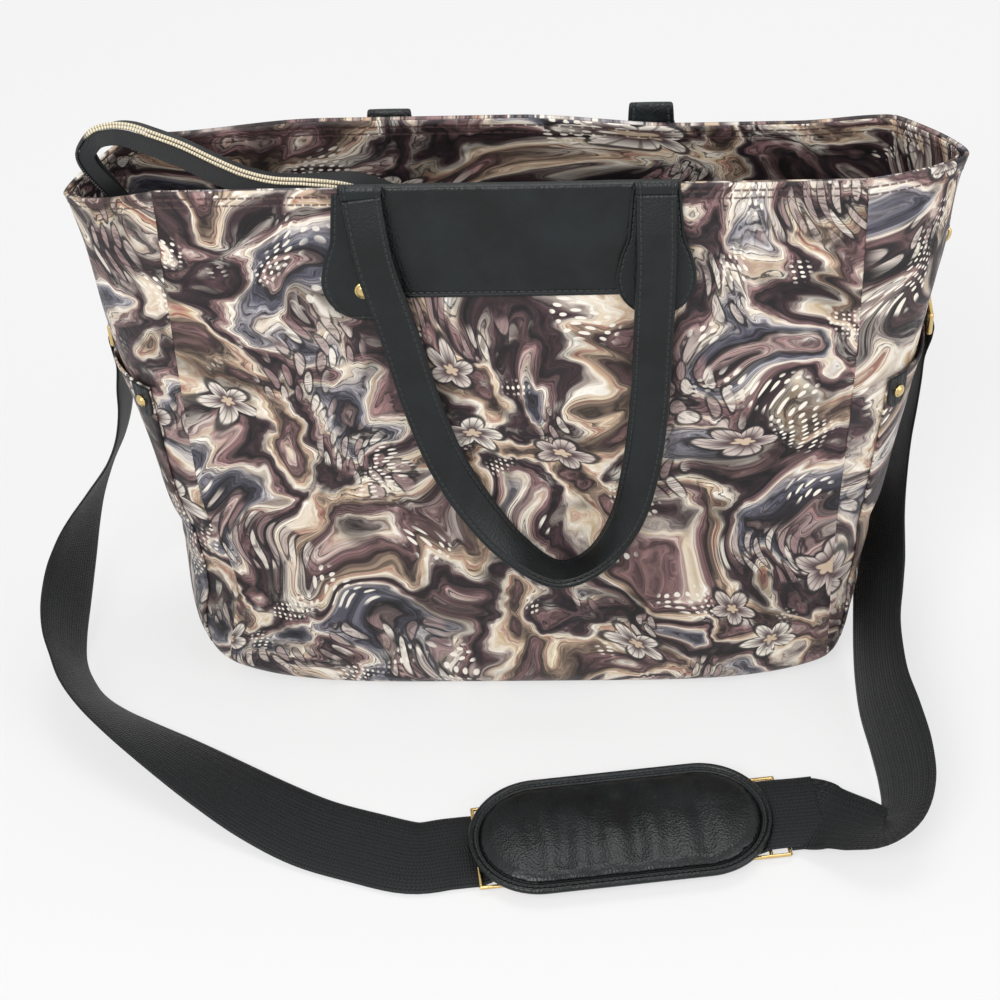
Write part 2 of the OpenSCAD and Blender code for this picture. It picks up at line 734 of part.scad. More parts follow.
// carry handles; rows of [share of half span, off the panel, below the rim, width heading, slope]
handle_line = [
    [-1, 0.2, 1.4, 0, 0], [-0.97, 2, 18, 0, 6], [-0.92, 3.1, 39, 0, 11], [-0.8, 3.4, 72, 0, 13],
    [-0.67, 3.2, 114, 6, 18], [-0.5, 4, 154, 22, 22], [-0.26, 5.2, 187, 46, 20], [0, 6.2, 212, 70, 10],
    [0.28, 6.8, 226, 90, 0], [0.56, 6.4, 217, 112, -6], [0.78, 5.4, 190, 140, -6], [0.89, 4.4, 156, 162, 0],
    [0.95, 3.6, 118, 174, 2], [0.98, 3.4, 75, 178, 2], [1, 2.8, 38, 180, 1], [1, 2, 18, 180, 0],
    [1, 0.2, 1.4, 180, 0]
];
handle_n = tab_n + tab_t + 0.4 + handle_t / 2;
function front_handle_route() = [
    for (p = handle_line)
        concat(front_off(p[0] * handle_span / 2, body_h - p[2], handle_n + p[1]), [p[3], p[4]])
];
function back_handle_route() = [
    for (p = handle_line)
        concat(back_off(back_shift + p[0] * back_half_span, body_h - p[2], handle_n + p[1]), [-p[3], p[4]])
];
handle_profile = oblong(-handle_w / 2, handle_w / 2, -handle_t / 2, handle_t / 2);
module front_handle() {
    color(leather)
        sweep(front_handle_route(), handle_profile, 4);
}
module back_handle() {
    color(leather)
        sweep(back_handle_route(), handle_profile, 4);
}

// zip: rows of [x, y, below the rim, front tape heading and slope, back tape heading and slope]
zip_tail = [
    [-209, -4, 24, 0, 10, 5, 10], [-215, -5, 12, -5, 0, 5, 0], [-223, -5, -2, -10, -20, 8, -20],
    [-225, -4, -11, -20, -30, 18, -30], [-221, -2, -18, -40, -34, 35, -33], [-215, 1, -22, -60, -36, 55, -32],
    [-206, 4, -22.5, -80, -40, 75, -28], [-196, 5, -20.5, -88, -48, 86, -22],
    [-185, 3, -17, -90, -52, 90, -18],
    [-170, 0, -12, -90, -53, 90, -18], [-154, -5, -6, -90, -53, 90, -18], [-138, -10, -1, -90, -56, 90, -18],
    [-122, -14, 1, -90, -62, 90, -17], [-105, -16, 1, -90, -70, 90, -14], [-85, -12.5, 6.7, -95, -80, 85, 0]
];
zip_low = facing_h + 4;
front_end = [
    [-70, -6.5, 19, -110, -70, 75, 40], [-52, -4, 31, -120, -45, 0, 0], [-30, -6, 42, -110, 0, 0, 0],
    [-6, -13, 52, -95, 35, 0, 0], [14, -21.5, 60, -90, 65, 0, 0]
];
back_end = [
    [-70, -5.5, 19, 0, 0, 80, 30], [-52, -0.5, 33, 0, 0, 85, 45], [-30, 6, 44, 0, 0, 80, 50],
    [-6, 14, 54, 0, 0, 75, 55], [20, 22, 61, 0, 0, 78, 60]
];
tape_t = 0.6;
coil_w = 1.8;
coil_h = 1.6;
zip_off = liner_in + facing_t + gap;
zip_z = body_h - zip_low;
seam_lean = 78;
function front_seam(x, off) = [x, front_y(x, share(zip_z)) + zip_off + off, zip_z, 90, seam_lean];
function back_seam(x, off) = [x, back_y(x, share(zip_z)) - zip_off - off, zip_z, -90, seam_lean];
front_zip = concat(
    [for (p = concat(zip_tail, front_end)) [p[0], p[1], body_h - p[2], p[3], p[4]]],
    [front_seam(38, 2.2), front_seam(64, 0.5), front_seam(110, 0), front_seam(164, 0)]
);
back_zip = concat(
    [for (p = concat(zip_tail, back_end)) [p[0], p[1], body_h - p[2], p[5], p[6]]],
    [back_seam(44, 10), back_seam(66, 3.2), back_seam(90, 0.6), back_seam(126, 0), back_seam(164, 0)]
);
zip_steps = 3;
module zip_tape_front() {
    color(webbing)
        sweep(front_zip, oblong(coil_w + gap, coil_w + tape_w, -0.1 - tape_t, -0.1), zip_steps);
}
module zip_tape_back() {
    color(webbing)
        sweep(back_zip, oblong(coil_w + gap, coil_w + tape_w, 0.1, 0.1 + tape_t), zip_steps);
}
module zip_teeth_front() {
    color(coil)
        sweep(front_zip, oblong(0.2, coil_w, -0.1 - coil_h, -0.1), zip_steps);
}
module zip_teeth_back() {
    color(coil)
        sweep(back_zip, oblong(0.2, coil_w, 0.1, 0.1 + coil_h), zip_steps);
}

// slider over the coil and its pull, drawn with the coil along X
slider_l = 11;
slider_w = 7;
slider_t = 1.4;
slider_x = unit([0.79, 0.158, -0.588]);
slider_z = unit(cross(slider_x, aim(62, 41)));
slider_y = cross(slider_z, slider_x);
slider_lift = coil_h + 1.5;
slider_at = [-62, -3.8, body_h - 25.4] + slider_z * slider_lift;
pull_pin = 0.9;
pull_pin_z = 4;
pull_eye = pull_pin + gap;
pull_rest = 10;
module at_slider() {
    multmatrix([
        [slider_x[0], slider_y[0], slider_z[0], slider_at[0]],
        [slider_x[1], slider_y[1], slider_z[1], slider_at[1]],
        [slider_x[2], slider_y[2], slider_z[2], slider_at[2]],
        [0, 0, 0, 1]
    ])
        children();
}
module zip_slider() {
    color(gold)
        at_slider() {
            translate([-slider_l / 2, -slider_w / 2, 0])
                cube([slider_l, slider_w, slider_t]);
            for (side = [-1, 1])
                translate([0, side * 3, slider_t - 0.2])
                    translate([-1.6, -0.7, 0])
                        cube([3.2, 1.4, pull_pin_z - slider_t + 1.4]);
            translate([0, 0, pull_pin_z])
                along_y(pull_pin, 6);
        }
}
module zip_pull() {
    color(gold)
        at_slider()
            translate([0, 0, pull_pin_z])
                rotate([0, -pull_rest, 0])
                    difference() {
                        union() {
                            along_y(pull_eye + 1, 3.6);
                            translate([0.8, -1.8, -0.7])
                                cube([pull_l - 4, 3.6, 1.4]);
                            translate([pull_l - 4, 0, -0.7])
                                cylinder(r = 3, h = 1.4);
                        }
                        along_y(pull_eye, 8);
                    }
}

base_panel();
front_panel();
back_panel();
left_gusset();
right_gusset();
facing();
lining();
base_board();
front_patch();
back_patch();
front_left_tab();
front_right_tab();
back_left_tab();
back_right_tab();
front_rivets();
back_rivets();
left_side_pocket();
right_side_pocket();
left_pocket_tabs();
right_pocket_tabs();
pocket_rivets();
left_ring_tab();
right_ring_tab();
left_d_ring();
right_d_ring();
left_hook();
right_hook();
left_gate();
right_gate();
left_hook_eye();
right_hook_eye();
strap_left();
strap_right();
left_adjuster();
right_adjuster();
pad_base();
pad_piping();
pad_cover();
front_handle();
back_handle();
zip_tape_front();
zip_tape_back();
zip_teeth_front();
zip_teeth_back();
zip_slider();
zip_pull();
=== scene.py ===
import json
import math

import bmesh
import bpy
from mathutils import Matrix, Vector, noise

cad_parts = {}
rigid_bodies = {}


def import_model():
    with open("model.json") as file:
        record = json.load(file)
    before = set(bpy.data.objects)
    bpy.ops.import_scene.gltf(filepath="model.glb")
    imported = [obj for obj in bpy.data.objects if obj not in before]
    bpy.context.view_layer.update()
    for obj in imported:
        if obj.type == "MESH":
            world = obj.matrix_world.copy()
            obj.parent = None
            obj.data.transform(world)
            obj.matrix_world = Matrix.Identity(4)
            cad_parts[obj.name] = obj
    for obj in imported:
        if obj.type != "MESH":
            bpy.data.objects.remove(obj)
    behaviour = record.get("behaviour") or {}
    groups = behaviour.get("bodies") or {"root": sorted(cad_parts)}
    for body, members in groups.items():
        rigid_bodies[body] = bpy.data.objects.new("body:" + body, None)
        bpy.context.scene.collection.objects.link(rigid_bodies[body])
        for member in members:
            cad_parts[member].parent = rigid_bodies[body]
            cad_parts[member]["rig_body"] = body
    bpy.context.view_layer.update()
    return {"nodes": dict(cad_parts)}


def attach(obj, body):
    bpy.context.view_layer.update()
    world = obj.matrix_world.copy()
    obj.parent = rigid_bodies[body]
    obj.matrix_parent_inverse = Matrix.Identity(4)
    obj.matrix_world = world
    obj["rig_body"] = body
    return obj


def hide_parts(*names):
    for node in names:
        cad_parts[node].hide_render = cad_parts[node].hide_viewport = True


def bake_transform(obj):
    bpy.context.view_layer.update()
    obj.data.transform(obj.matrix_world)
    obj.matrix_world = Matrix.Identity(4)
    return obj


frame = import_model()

scene = bpy.context.scene
scene.view_settings.view_transform = "Standard"
mm = 0.001
print("frame loaded,", len(frame["nodes"]), "nodes")


def lerp(a, b, t):
    return a + (b - a) * t


def clamp(t):
    return max(0.0, min(1.0, t))


def ease(t):
    t = clamp(t)
    return t * t * (3 - 2 * t)


def hump(t, mid, wide):
    return math.exp(-((t - mid) / wide) ** 2)


def sinDeg(a):
    return math.sin(math.radians(a))


def ripple(x, y, z=0.0):
    return noise.noise(Vector((x, y, z)))


def tone(r, g, b):  # screen colour 0 to 255, as the shader's linear values
    line = [c / 255 for c in (r, g, b)]
    return tuple(c / 12.92 if c < 0.04045 else ((c + 0.055) / 1.055) ** 2.4 for c in line) + (1.0,)


# shader maths as plain expressions
def both(operation):  # an operator and its reflected form
    return (lambda self, other: self.calc(operation, self, other),
            lambda self, other: self.calc(operation, other, self))


class Wire:
    def __init__(self, kit, socket):
        self.kit = kit
        self.socket = socket

    def calc(self, operation, *values):
        return self.kit.node("ShaderNodeMath", {"operation": operation}, dict(enumerate(values)))

    __add__, __radd__ = both("ADD")
    __sub__, __rsub__ = both("SUBTRACT")
    __mul__, __rmul__ = both("MULTIPLY")
    __truediv__, __rtruediv__ = both("DIVIDE")
    __gt__, __lt__ = both("GREATER_THAN")

    def __abs__(self):
        return self.calc("ABSOLUTE", self)

    def sine(self):
        return self.calc("SINE", self)

    def fraction(self):
        return self.calc("FRACT", self)

    def step(self, low, high):  # soft edge from low to high, also downwards
        return self.kit.node("ShaderNodeMapRange", {"interpolation_type": "SMOOTHSTEP"},
                             {0: self, 1: low, 2: high, 3: 0.0, 4: 1.0})


class Kit:
    def __init__(self, tree):
        self.tree = tree

    def node(self, kind, settings=None, inputs=None, out=0):
        made = self.tree.nodes.new(kind)
        for name, value in (settings or {}).items():
            if name == "stops":
                parts = made.color_ramp.elements
                while len(parts) < len(value):
                    parts.new(1.0)
                for part, (place, colour) in zip(parts, value):
                    part.position = place
                    part.color = colour
            else:
                setattr(made, name, value)
        for name, value in (inputs or {}).items():
            if isinstance(value, Wire):
                self.tree.links.new(value.socket, made.inputs[name])
            else:
                made.inputs[name].default_value = value
        return Wire(self, made.outputs[out])

    def noise(self, where, scale, detail=2.0, rough=0.5, out=0):
        inputs = {"Vector": where, "Scale": scale, "Detail": detail, "Roughness": rough}
        return self.node("ShaderNodeTexNoise", {}, inputs, out)

    def cells(self, where, scale, random=1.0, out=0):
        return self.node("ShaderNodeTexVoronoi", {"voronoi_dimensions": "2D"},
                         {"Vector": where, "Scale": scale, "Randomness": random}, out)

    def move(self, operation, a, b):
        return self.node("ShaderNodeVectorMath", {"operation": operation}, {0: a, 1: b})

    def mix(self, share, a, b, blend="MIX"):
        settings = {"data_type": "RGBA", "blend_type": blend}
        return self.node("ShaderNodeMix", settings, {0: share, 6: a, 7: b}, 2)

    def axis(self, vector, name):
        return self.node("ShaderNodeSeparateXYZ", {}, {0: vector}, name)

    def cut(self):
        return self.node("ShaderNodeUVMap", {"uv_map": "cut"})

    def here(self):
        return self.node("ShaderNodeTexCoord", {}, {}, "Object")

    def dashes(self, run, pitch, gap):  # stitches along a seam
        place = (run / pitch).fraction()
        return place.step(gap, 2 * gap) * place.step(1 - gap, 1 - 2 * gap)

    def bump(self, height, strength, distance, under=None):
        inputs = {"Height": height, "Strength": strength, "Distance": distance}
        if under:
            inputs["Normal"] = under
        return self.node("ShaderNodeBump", {}, inputs)

    def finish(self, **values):
        shader = self.tree.nodes["Principled BSDF"]
        for name, value in values.items():
            socket = shader.inputs[name.replace("_", " ")]
            if isinstance(value, Wire):
                self.tree.links.new(value.socket, socket)
            else:
                socket.default_value = value


def newFinish(name):
    made = bpy.data.materials.new(name)
    made.use_nodes = True
    return made, Kit(made.node_tree)


# camera, floor and light
camera = {"azimuth": 3.65, "elevation": 42.86, "roll": -3.11, "distance": 1.38, "lens": 84.76,
          "target": (-0.01421, -0.00518, 0.09321)}
studio = {"pale": 0.896, "ambient": 0.42, "flat": 0.72, "floorHalf": 60, "floorZ": -0.0016,
          "lookAt": (0, 0, 0.15),
          "lamps": [("keyLamp", (-0.7, -1.6, 1.9), 1.2, 36), ("fillLamp", (1.5, -0.9, 1.3), 1.2, 12),
                    ("topLamp", (0.1, 0.7, 2.2), 1.2, 18)]}


def linked(name, data):
    made = bpy.data.objects.new(name, data)
    scene.collection.objects.link(made)
    return made


def makeCamera():
    a, e, r = (math.radians(camera[k]) for k in ("azimuth", "elevation", "roll"))
    ahead = Vector((-math.sin(a) * math.cos(e), math.cos(a) * math.cos(e), -math.sin(e)))
    right = Vector((math.cos(a), math.sin(a), 0))
    up = right.cross(ahead)
    across = right * math.cos(r) + up * math.sin(r)
    upright = up * math.cos(r) - right * math.sin(r)
    data = bpy.data.cameras.new("photoCamera")
    data.lens = camera["lens"]
    data.sensor_width = 36
    made = linked("photoCamera", data)
    place = Matrix((across, upright, -ahead)).transposed().to_4x4()
    place.translation = Vector(camera["target"]) - ahead * camera["distance"]
    made.matrix_world = place
    scene.camera = made


def seenRays(kit):
    seen = [kit.node("ShaderNodeLightPath", {}, {}, name)
            for name in ("Is Camera Ray", "Is Glossy Ray", "Is Transmission Ray")]
    together = seen[0] + seen[1] + seen[2]
    return together.calc("MINIMUM", together, 1.0)


def makeStudio():
    pale = (studio["pale"],) * 3 + (1.0,)
    world = bpy.data.worlds.new("studioWorld")
    world.use_nodes = True
    scene.world = world
    kit = Kit(world.node_tree)
    light = kit.node("ShaderNodeBackground", {}, {"Color": (1, 1, 1, 1), "Strength": studio["ambient"]})
    back = kit.node("ShaderNodeBackground", {}, {"Color": pale, "Strength": 1.0})
    both = kit.node("ShaderNodeMixShader", {}, {0: seenRays(kit), 1: light, 2: back})
    world.node_tree.links.new(both.socket, world.node_tree.nodes["World Output"].inputs["Surface"])

    bm = bmesh.new()
    bmesh.ops.create_grid(bm, x_segments=4, y_segments=4, size=studio["floorHalf"])
    mesh = bpy.data.meshes.new("floor")
    bmesh.ops.translate(bm, verts=bm.verts, vec=(0, 0, studio["floorZ"]))
    bm.to_mesh(mesh)
    bm.free()
    floor = linked("floor", mesh)
    made, kit = newFinish("paleFloor")
    kit.finish(Base_Color=pale, Roughness=0.9)
    glow = kit.node("ShaderNodeEmission", {}, {"Color": pale, "Strength": 1.0})
    shader = Wire(kit, made.node_tree.nodes["Principled BSDF"].outputs[0])
    both = kit.node("ShaderNodeMixShader", {}, {0: seenRays(kit) * studio["flat"], 1: shader, 2: glow})
    made.node_tree.links.new(both.socket, made.node_tree.nodes["Material Output"].inputs["Surface"])
    floor.data.materials.append(made)
    for name, place, size, power in studio["lamps"]:
        lamp = bpy.data.lights.new(name, "AREA")
        lamp.size = size
        lamp.energy = power
        holder = linked(name, lamp)
        holder.location = place
        holder.rotation_mode = "QUATERNION"
        holder.rotation_quaternion = (Vector(studio["lookAt"]) - Vector(place)).to_track_quat("-Z", "Y")


makeCamera()
makeStudio()
print("camera and studio ready")

# finishes
inks = {"night": tone(34, 27, 32), "plum": tone(82, 54, 62), "rose": tone(152, 110, 112),
        "blush": tone(204, 172, 166), "cream": tone(240, 229, 212), "sand": tone(206, 176, 140),
        "bark": tone(78, 56, 54), "slate": tone(92, 94, 114), "mist": tone(170, 168, 176)}
bands = ((0.0, "night"), (0.1, "plum"), (0.18, "cream"), (0.25, "rose"), (0.32, "bark"), (0.39, "sand"),
         (0.44, "cream"), (0.49, "plum"), (0.55, "night"), (0.61, "rose"), (0.66, "cream"), (0.71, "mist"),
         (0.76, "slate"), (0.82, "night"), (0.88, "blush"), (0.93, "plum"), (1.0, "cream"))
hairTones = ((0.3, (26, 20, 24)), (0.44, (122, 114, 116)), (0.56, (188, 182, 178)), (0.68, (255, 250, 240)))


def printFinish():
    made, kit = newFinish("printedCloth")
    cut = kit.cut()
    half = (0.5, 0.5, 0.5)
    drift = kit.move("SUBTRACT", kit.noise(cut, 7, 2, 0.5, 1), half)
    swirl = kit.move("ADD", cut, kit.move("MULTIPLY", drift, (0.16, 0.16, 0)))
    curl = kit.move("SUBTRACT", kit.noise(swirl, 24, 3, 0.55, 1), half)
    flow = kit.move("ADD", swirl, kit.move("MULTIPLY", curl, (0.04, 0.04, 0)))
    field = (kit.noise(flow, 13, 2, 0.5) - 0.27) / 0.46
    ground = kit.node("ShaderNodeValToRGB", {"stops": [(at, inks[name]) for at, name in bands]}, {0: field})
    # brush hairs that run along the swirls
    x, y = kit.axis(flow, "X"), kit.axis(flow, "Y")
    along = kit.node("ShaderNodeCombineXYZ", {}, {0: field * 46, 1: x * 60, 2: y * 60})
    hair = kit.noise(along, 1.0, 5, 0.7)
    brush = kit.node("ShaderNodeValToRGB", {"stops": [(at, tone(*c)) for at, c in hairTones]}, {0: hair})
    colour = kit.mix(0.9, ground, brush, "OVERLAY")
    patches = kit.noise(swirl, 20, 3, 0.6)
    colour = kit.mix(patches.step(0.5, 0.36) * 0.7, colour, inks["night"], "MULTIPLY")
    colour = kit.mix(patches.step(0.56, 0.7) * hair.step(0.42, 0.56) * 0.8, colour, inks["cream"])
    fine = abs((field * 130 + hair * 6).sine())
    areas = kit.noise(cut, 14, 1)
    colour = kit.mix(fine.step(0.42, 0.1) * areas.step(0.44, 0.52) * 0.85, colour, inks["night"])
    # slender leaves in sprays
    turned = kit.node("ShaderNodeMapping", {}, {"Vector": swirl, "Rotation": (0, 0, 0.7),
                                                "Scale": (1.0, 0.3, 1.0)})
    leaf = kit.cells(turned, 150, 0.5)
    tint = kit.axis(kit.cells(turned, 150, 0.5, 1), "X")
    spray = kit.noise(cut, 15, 1, 0.5).step(0.56, 0.6)
    leafColour = kit.mix(tint, inks["cream"], inks["rose"])
    leafColour = kit.mix(hair.step(0.55, 0.4) * 0.7, leafColour, inks["bark"])
    colour = kit.mix(leaf.step(0.36, 0.3) * spray * 0.85, colour, leafColour)
    colour = kit.mix(leaf.step(0.3, 0.36) * leaf.step(0.5, 0.42) * spray * 0.85, colour, inks["night"])
    # five-lobed rosettes
    spot = kit.move("SUBTRACT", swirl, kit.cells(swirl, 13, 0.75, 2))
    sx, sy = kit.axis(spot, "X"), kit.axis(spot, "Y")
    far = sx.calc("SQRT", sx * sx + sy * sy)
    chance = kit.axis(kit.cells(swirl, 13, 0.75, 1), "X")
    angle = sx.calc("ARCTAN2", sy, sx) + chance * 6
    reach = far / (0.0085 + abs((angle * 2.5).sine()) * (chance * 0.007 + 0.004))
    some = chance > 0.5
    petals = kit.mix(reach.step(0.25, 0.95), inks["plum"], kit.mix(chance, inks["rose"], inks["cream"]))
    petals = kit.mix(abs((angle * 12.5).sine()).step(0.5, 0.1) * 0.7, petals, inks["bark"])
    colour = kit.mix(reach.step(1.04, 0.94) * some, colour, petals)
    colour = kit.mix(reach.step(0.9, 1.0) * reach.step(1.25, 1.08) * some * 0.9, colour, inks["night"])
    colour = kit.mix(reach.step(0.3, 0.22) * some, colour, inks["sand"])
    # small beads between the forms
    beads = kit.cells(swirl, 230, 0.3).step(0.3, 0.22)
    colour = kit.mix(beads * kit.noise(cut, 22, 1).step(0.58, 0.63), colour, inks["cream"])
    colour = kit.mix(0.3, colour, kit.node("ShaderNodeRGBToBW", {}, {0: colour}))
    # rows of stitches under the rim
    u, v = kit.axis(cut, "X"), kit.axis(cut, "Y")
    dash = kit.dashes(u, 0.0042, 0.08)
    sewn = abs(v - 0.3222).step(0.0008, 0.0004) + abs(v - 0.3264).step(0.0008, 0.0004)
    colour = kit.mix(sewn * dash * 0.8, colour, inks["bark"])
    weave = (u * 6500).sine() * (v * 6500).sine()
    crumple = kit.noise(cut, 32, 4, 0.55)
    low = kit.bump(crumple, 0.6, 0.007)
    normal = kit.bump(weave * 0.12 - sewn * (1 - dash * 0.5) * 1.4, 0.5, 0.0006, low)
    kit.finish(Base_Color=colour, Roughness=0.4 + kit.noise(cut, 260, 2) * 0.2, Normal=normal,
               Specular_IOR_Level=0.35, Sheen_Weight=0.04, Sheen_Roughness=0.5)
    return made


def leatherFinish(name, stitches, gloss):
    made, kit = newFinish(name)
    here = kit.here()
    cut = kit.cut()
    edge, run = kit.axis(cut, "X"), kit.axis(cut, "Y")
    pores = kit.node("ShaderNodeTexVoronoi", {"feature": "F1"}, {"Vector": here, "Scale": 780.0})
    cloud = kit.noise(here, 38, 4, 0.6)
    colour = kit.mix(cloud.step(0.35, 0.7), tone(8, 12, 13), tone(17, 24, 26))
    # painted highlight: the leather is painted lighter grey in patches along its edges, as a painted edge sheen
    edgeSheen = kit.noise(here, 120, 5, 0.65).step(0.58, 0.78) * edge.step(0.002, 0.0002)
    colour = kit.mix(edgeSheen * 0.35, colour, tone(78, 78, 76))
    height = pores * 0.35 + kit.noise(here, 26, 2) * 2.2 + kit.noise(here, 60, 1) * 0.5
    rough = gloss + cloud * 0.2 + pores * 0.06
    if stitches:
        line = abs(edge - stitches["inset"]).step(0.0007, 0.0003)
        dash = kit.dashes(run, stitches["pitch"], 0.1)
        colour = kit.mix(line * dash * 0.7, colour, tone(44, 45, 46))
        height = height - abs(edge - stitches["inset"]).step(0.0014, 0.0003) * 1.6 + line * dash * 1.4
        rough = rough + line * 0.15
    kit.finish(Base_Color=colour, Roughness=rough, Normal=kit.bump(height, 0.4, 0.0012),
               Specular_IOR_Level=0.36)
    return made


def webbingFinish():
    made, kit = newFinish("blackWebbing")
    cut = kit.cut()
    u, v = kit.axis(cut, "X"), kit.axis(cut, "Y")
    slant = (v * 3900 + abs((u * 620).sine()) * 3.0).sine()  # herringbone ribs
    cord = (u * 2600).sine()
    border = abs(u).step(0.0225, 0.0232)
    height = slant * 0.5 + cord * 0.3 + border * 0.6
    wear = kit.noise(cut, 60, 4, 0.6)
    # painted highlight: the raised ribs are painted lighter blue-grey as a painted sheen, with random tone from
    # the noise
    colour = kit.mix(slant.step(-0.4, 0.9) * 0.6 + wear * 0.3, tone(8, 10, 11), tone(28, 31, 34))
    kit.finish(Base_Color=colour, Roughness=0.5 + wear * 0.16, Normal=kit.bump(height, 0.45, 0.0005),
               Specular_IOR_Level=0.3, Sheen_Weight=0.06, Sheen_Roughness=0.4)
    return made


def clothFinish(name, dark, light, shine):
    made, kit = newFinish(name)
    here = kit.here()
    x, y, z = (kit.axis(here, n) for n in ("X", "Y", "Z"))
    weave = ((x + y) * 4200).sine() * (z * 4200).sine()
    cloud = kit.noise(here, 30, 4, 0.6)
    colour = kit.mix(cloud, dark, light)
    kit.finish(Base_Color=colour, Roughness=shine + cloud * 0.15,
               Normal=kit.bump(weave * 0.2 + cloud, 0.35, 0.002), Specular_IOR_Level=0.35)
    return made


def metalFinish():
    made, kit = newFinish("paleGold")
    here = kit.here()
    spots = kit.noise(here, 420, 4, 0.6)
    colour = kit.mix(spots, tone(196, 164, 104), tone(232, 208, 150))
    kit.finish(Base_Color=colour, Metallic=1.0, Roughness=0.2 + kit.noise(here, 900, 2) * 0.18,
               Normal=kit.bump(spots, 0.08, 0.0003))
    return made


def coilFinish():
    made, kit = newFinish("creamCoil")
    cut = kit.cut()
    teeth = (kit.axis(cut, "Y") * 4190).sine()
    # painted shade: the coil is painted darker in the gaps between its turns
    colour = kit.mix(teeth.step(-0.9, 0.1), tone(150, 138, 112), tone(232, 222, 196))
    tail = kit.axis(cut, "Y").step(0.053, 0.048)  # bound in black
    colour = kit.mix(tail, colour, tone(16, 17, 18))
    kit.finish(Base_Color=colour, Roughness=0.38 + teeth * 0.05, Normal=kit.bump(teeth, 0.5, 0.0004))
    return made


printCloth = printFinish()
softLeather = leatherFinish("softLeather", None, 0.27)
padLeather = leatherFinish("padLeather", None, 0.2)
sewnLeather = leatherFinish("sewnLeather", {"inset": 0.0024, "pitch": 0.0038}, 0.27)
webbing = webbingFinish()
liningCloth = clothFinish("liningCloth", tone(18, 17, 19), tone(34, 32, 34), 0.6)
tapeCloth = clothFinish("tapeCloth", tone(15, 16, 17), tone(30, 31, 33), 0.55)
goldMetal = metalFinish()
creamCoil = coilFinish()
print("finishes ready")


# making pieces from grids
def addPiece(name, bm, finish, node=None, body="bag", thick=0, edge=0, smooth=True):
    mesh = bpy.data.meshes.new(name)
    bm.to_mesh(mesh)
    bm.free()
    made = linked(name, mesh)
    mesh.materials.append(finish)
    if smooth:
        mesh.polygons.foreach_set("use_smooth", [True] * len(mesh.polygons))
    if body:
        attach(made, body)
    if thick:
        solid = made.modifiers.new("thickness", "SOLIDIFY")
        solid.thickness = thick * mm
        solid.offset = -1.0
    if edge:
        bevel = made.modifiers.new("edge", "BEVEL")
        bevel.width = edge * mm
        bevel.segments = 2
        bevel.limit_method = "ANGLE"
        bevel.angle_limit = math.radians(50)
    if node:
        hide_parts(node)
    return made


def gridMesh(cols, rows, place, cutAt, closed=False, caps=False):
    bm = bmesh.new()
    cut = bm.loops.layers.uv.new("cut")
    bmesh.ops.create_grid(bm, x_segments=cols, y_segments=rows, size=0.5)
    spots = {v: (round((v.co.x + 0.5) * cols), round((v.co.y + 0.5) * rows)) for v in bm.verts}
    for face in bm.faces:
        for loop in face.loops:
            loop[cut].uv = [c * mm for c in cutAt(*spots[loop.vert])]
    for vert, (i, j) in spots.items():
        vert.co = Vector(place(i, j)) * mm
    if closed:
        bmesh.ops.remove_doubles(bm, verts=bm.verts, dist=1e-7)
    if caps:
        bmesh.ops.holes_fill(bm, edges=[e for e in bm.edges if e.is_boundary], sides=0)
    return bm


def joinMesh(bm, part):
    mesh = bpy.data.meshes.new("part")
    part.to_mesh(mesh)
    part.free()
    bm.from_mesh(mesh)
    bpy.data.meshes.remove(mesh)


# shape of the bag body, in millimetres
bag = {"baseW": 356, "baseD": 142, "height": 330, "frontW": 370, "backW": 404, "mouthFront": 25,
       "mouthBack": 30, "foldOut": 46, "wall": 2, "edge": 14, "belly": 4, "bulge": 5, "sideBelly": 12,
       "drop": {-1: 19, 1: 4}, "point": 0.8, "flare": 6, "rise": 8.5, "lean": 0.25, "corner": 13, "lift": 5,
       "spread": 9, "tuck": 13, "tuckAt": 82, "seam": 1.1, "hem": 0.5, "fineFrom": 296, "baseHalf": 57,
       "board": 0.97, "boardZ": 2.3, "boardH": 3.0, "cols": 72, "sideCols": 48, "baseCols": 40, "baseRows": 20}


def share(z):
    return clamp((z - bag["edge"]) / (bag["height"] - bag["edge"]))


def frontHalf(t):
    return lerp(bag["baseW"], bag["frontW"], ease(t)) / 2


def backHalf(t):
    return lerp(bag["baseW"], bag["backW"], ease(t)) / 2


def frontDepth(t):
    return lerp(bag["baseD"] / 2, bag["mouthFront"], t) + bag["belly"] * sinDeg(180 * t)


def backDepth(t):
    return lerp(bag["baseD"] / 2, bag["mouthBack"], t) + bag["belly"] * sinDeg(180 * t)


def foldHalf(t):
    low, high = bag["baseW"] / 2 + bag["sideBelly"], bag["frontW"] / 2 + bag["foldOut"]
    return low + (high - low) * max(0.0, sinDeg(90 * min(1, t))) ** 1.5 + bag["flare"] * t ** 8


def ridgeOf(s, t):  # how far the side folds out between its seams, sharper at the rim
    return 1 - abs(2 * s - 1) ** (lerp(4, 2.4, t) - bag["point"] * t ** 10)


def backRise(x, t):  # the rear rim rides up between its handles and at the right corner
    up = bag["rise"] * ease((x + 190) / 90) * ease((92 - x) / 90) + 3.5 * ease((x - 150) / 45)
    return up * t ** 8


def recede(k, z):  # rounded corners of the base, seen from above
    return bag["corner"] * abs(k) ** 5 * ease((120 - z) / 120)


def curlUp(k, z):  # the bottom edge lifts a little at the corners
    return bag["lift"] * abs(k) ** 6 * ease((50 - z) / 50)


def tuck(side, z):  # the left front seam is drawn in by a crease
    return bag["tuck"] * hump(z, bag["tuckAt"], 40) if side < 0 else 2 * hump(z, 120, 60)


def calm(x, z):  # no waves under the leather and at the edges
    patch = ease((z - 225) / 30) * ease((118 - abs(x)) / 20)
    return (1 - patch) * ease((z - 10) / 40) * ease((334 - z) / 40)


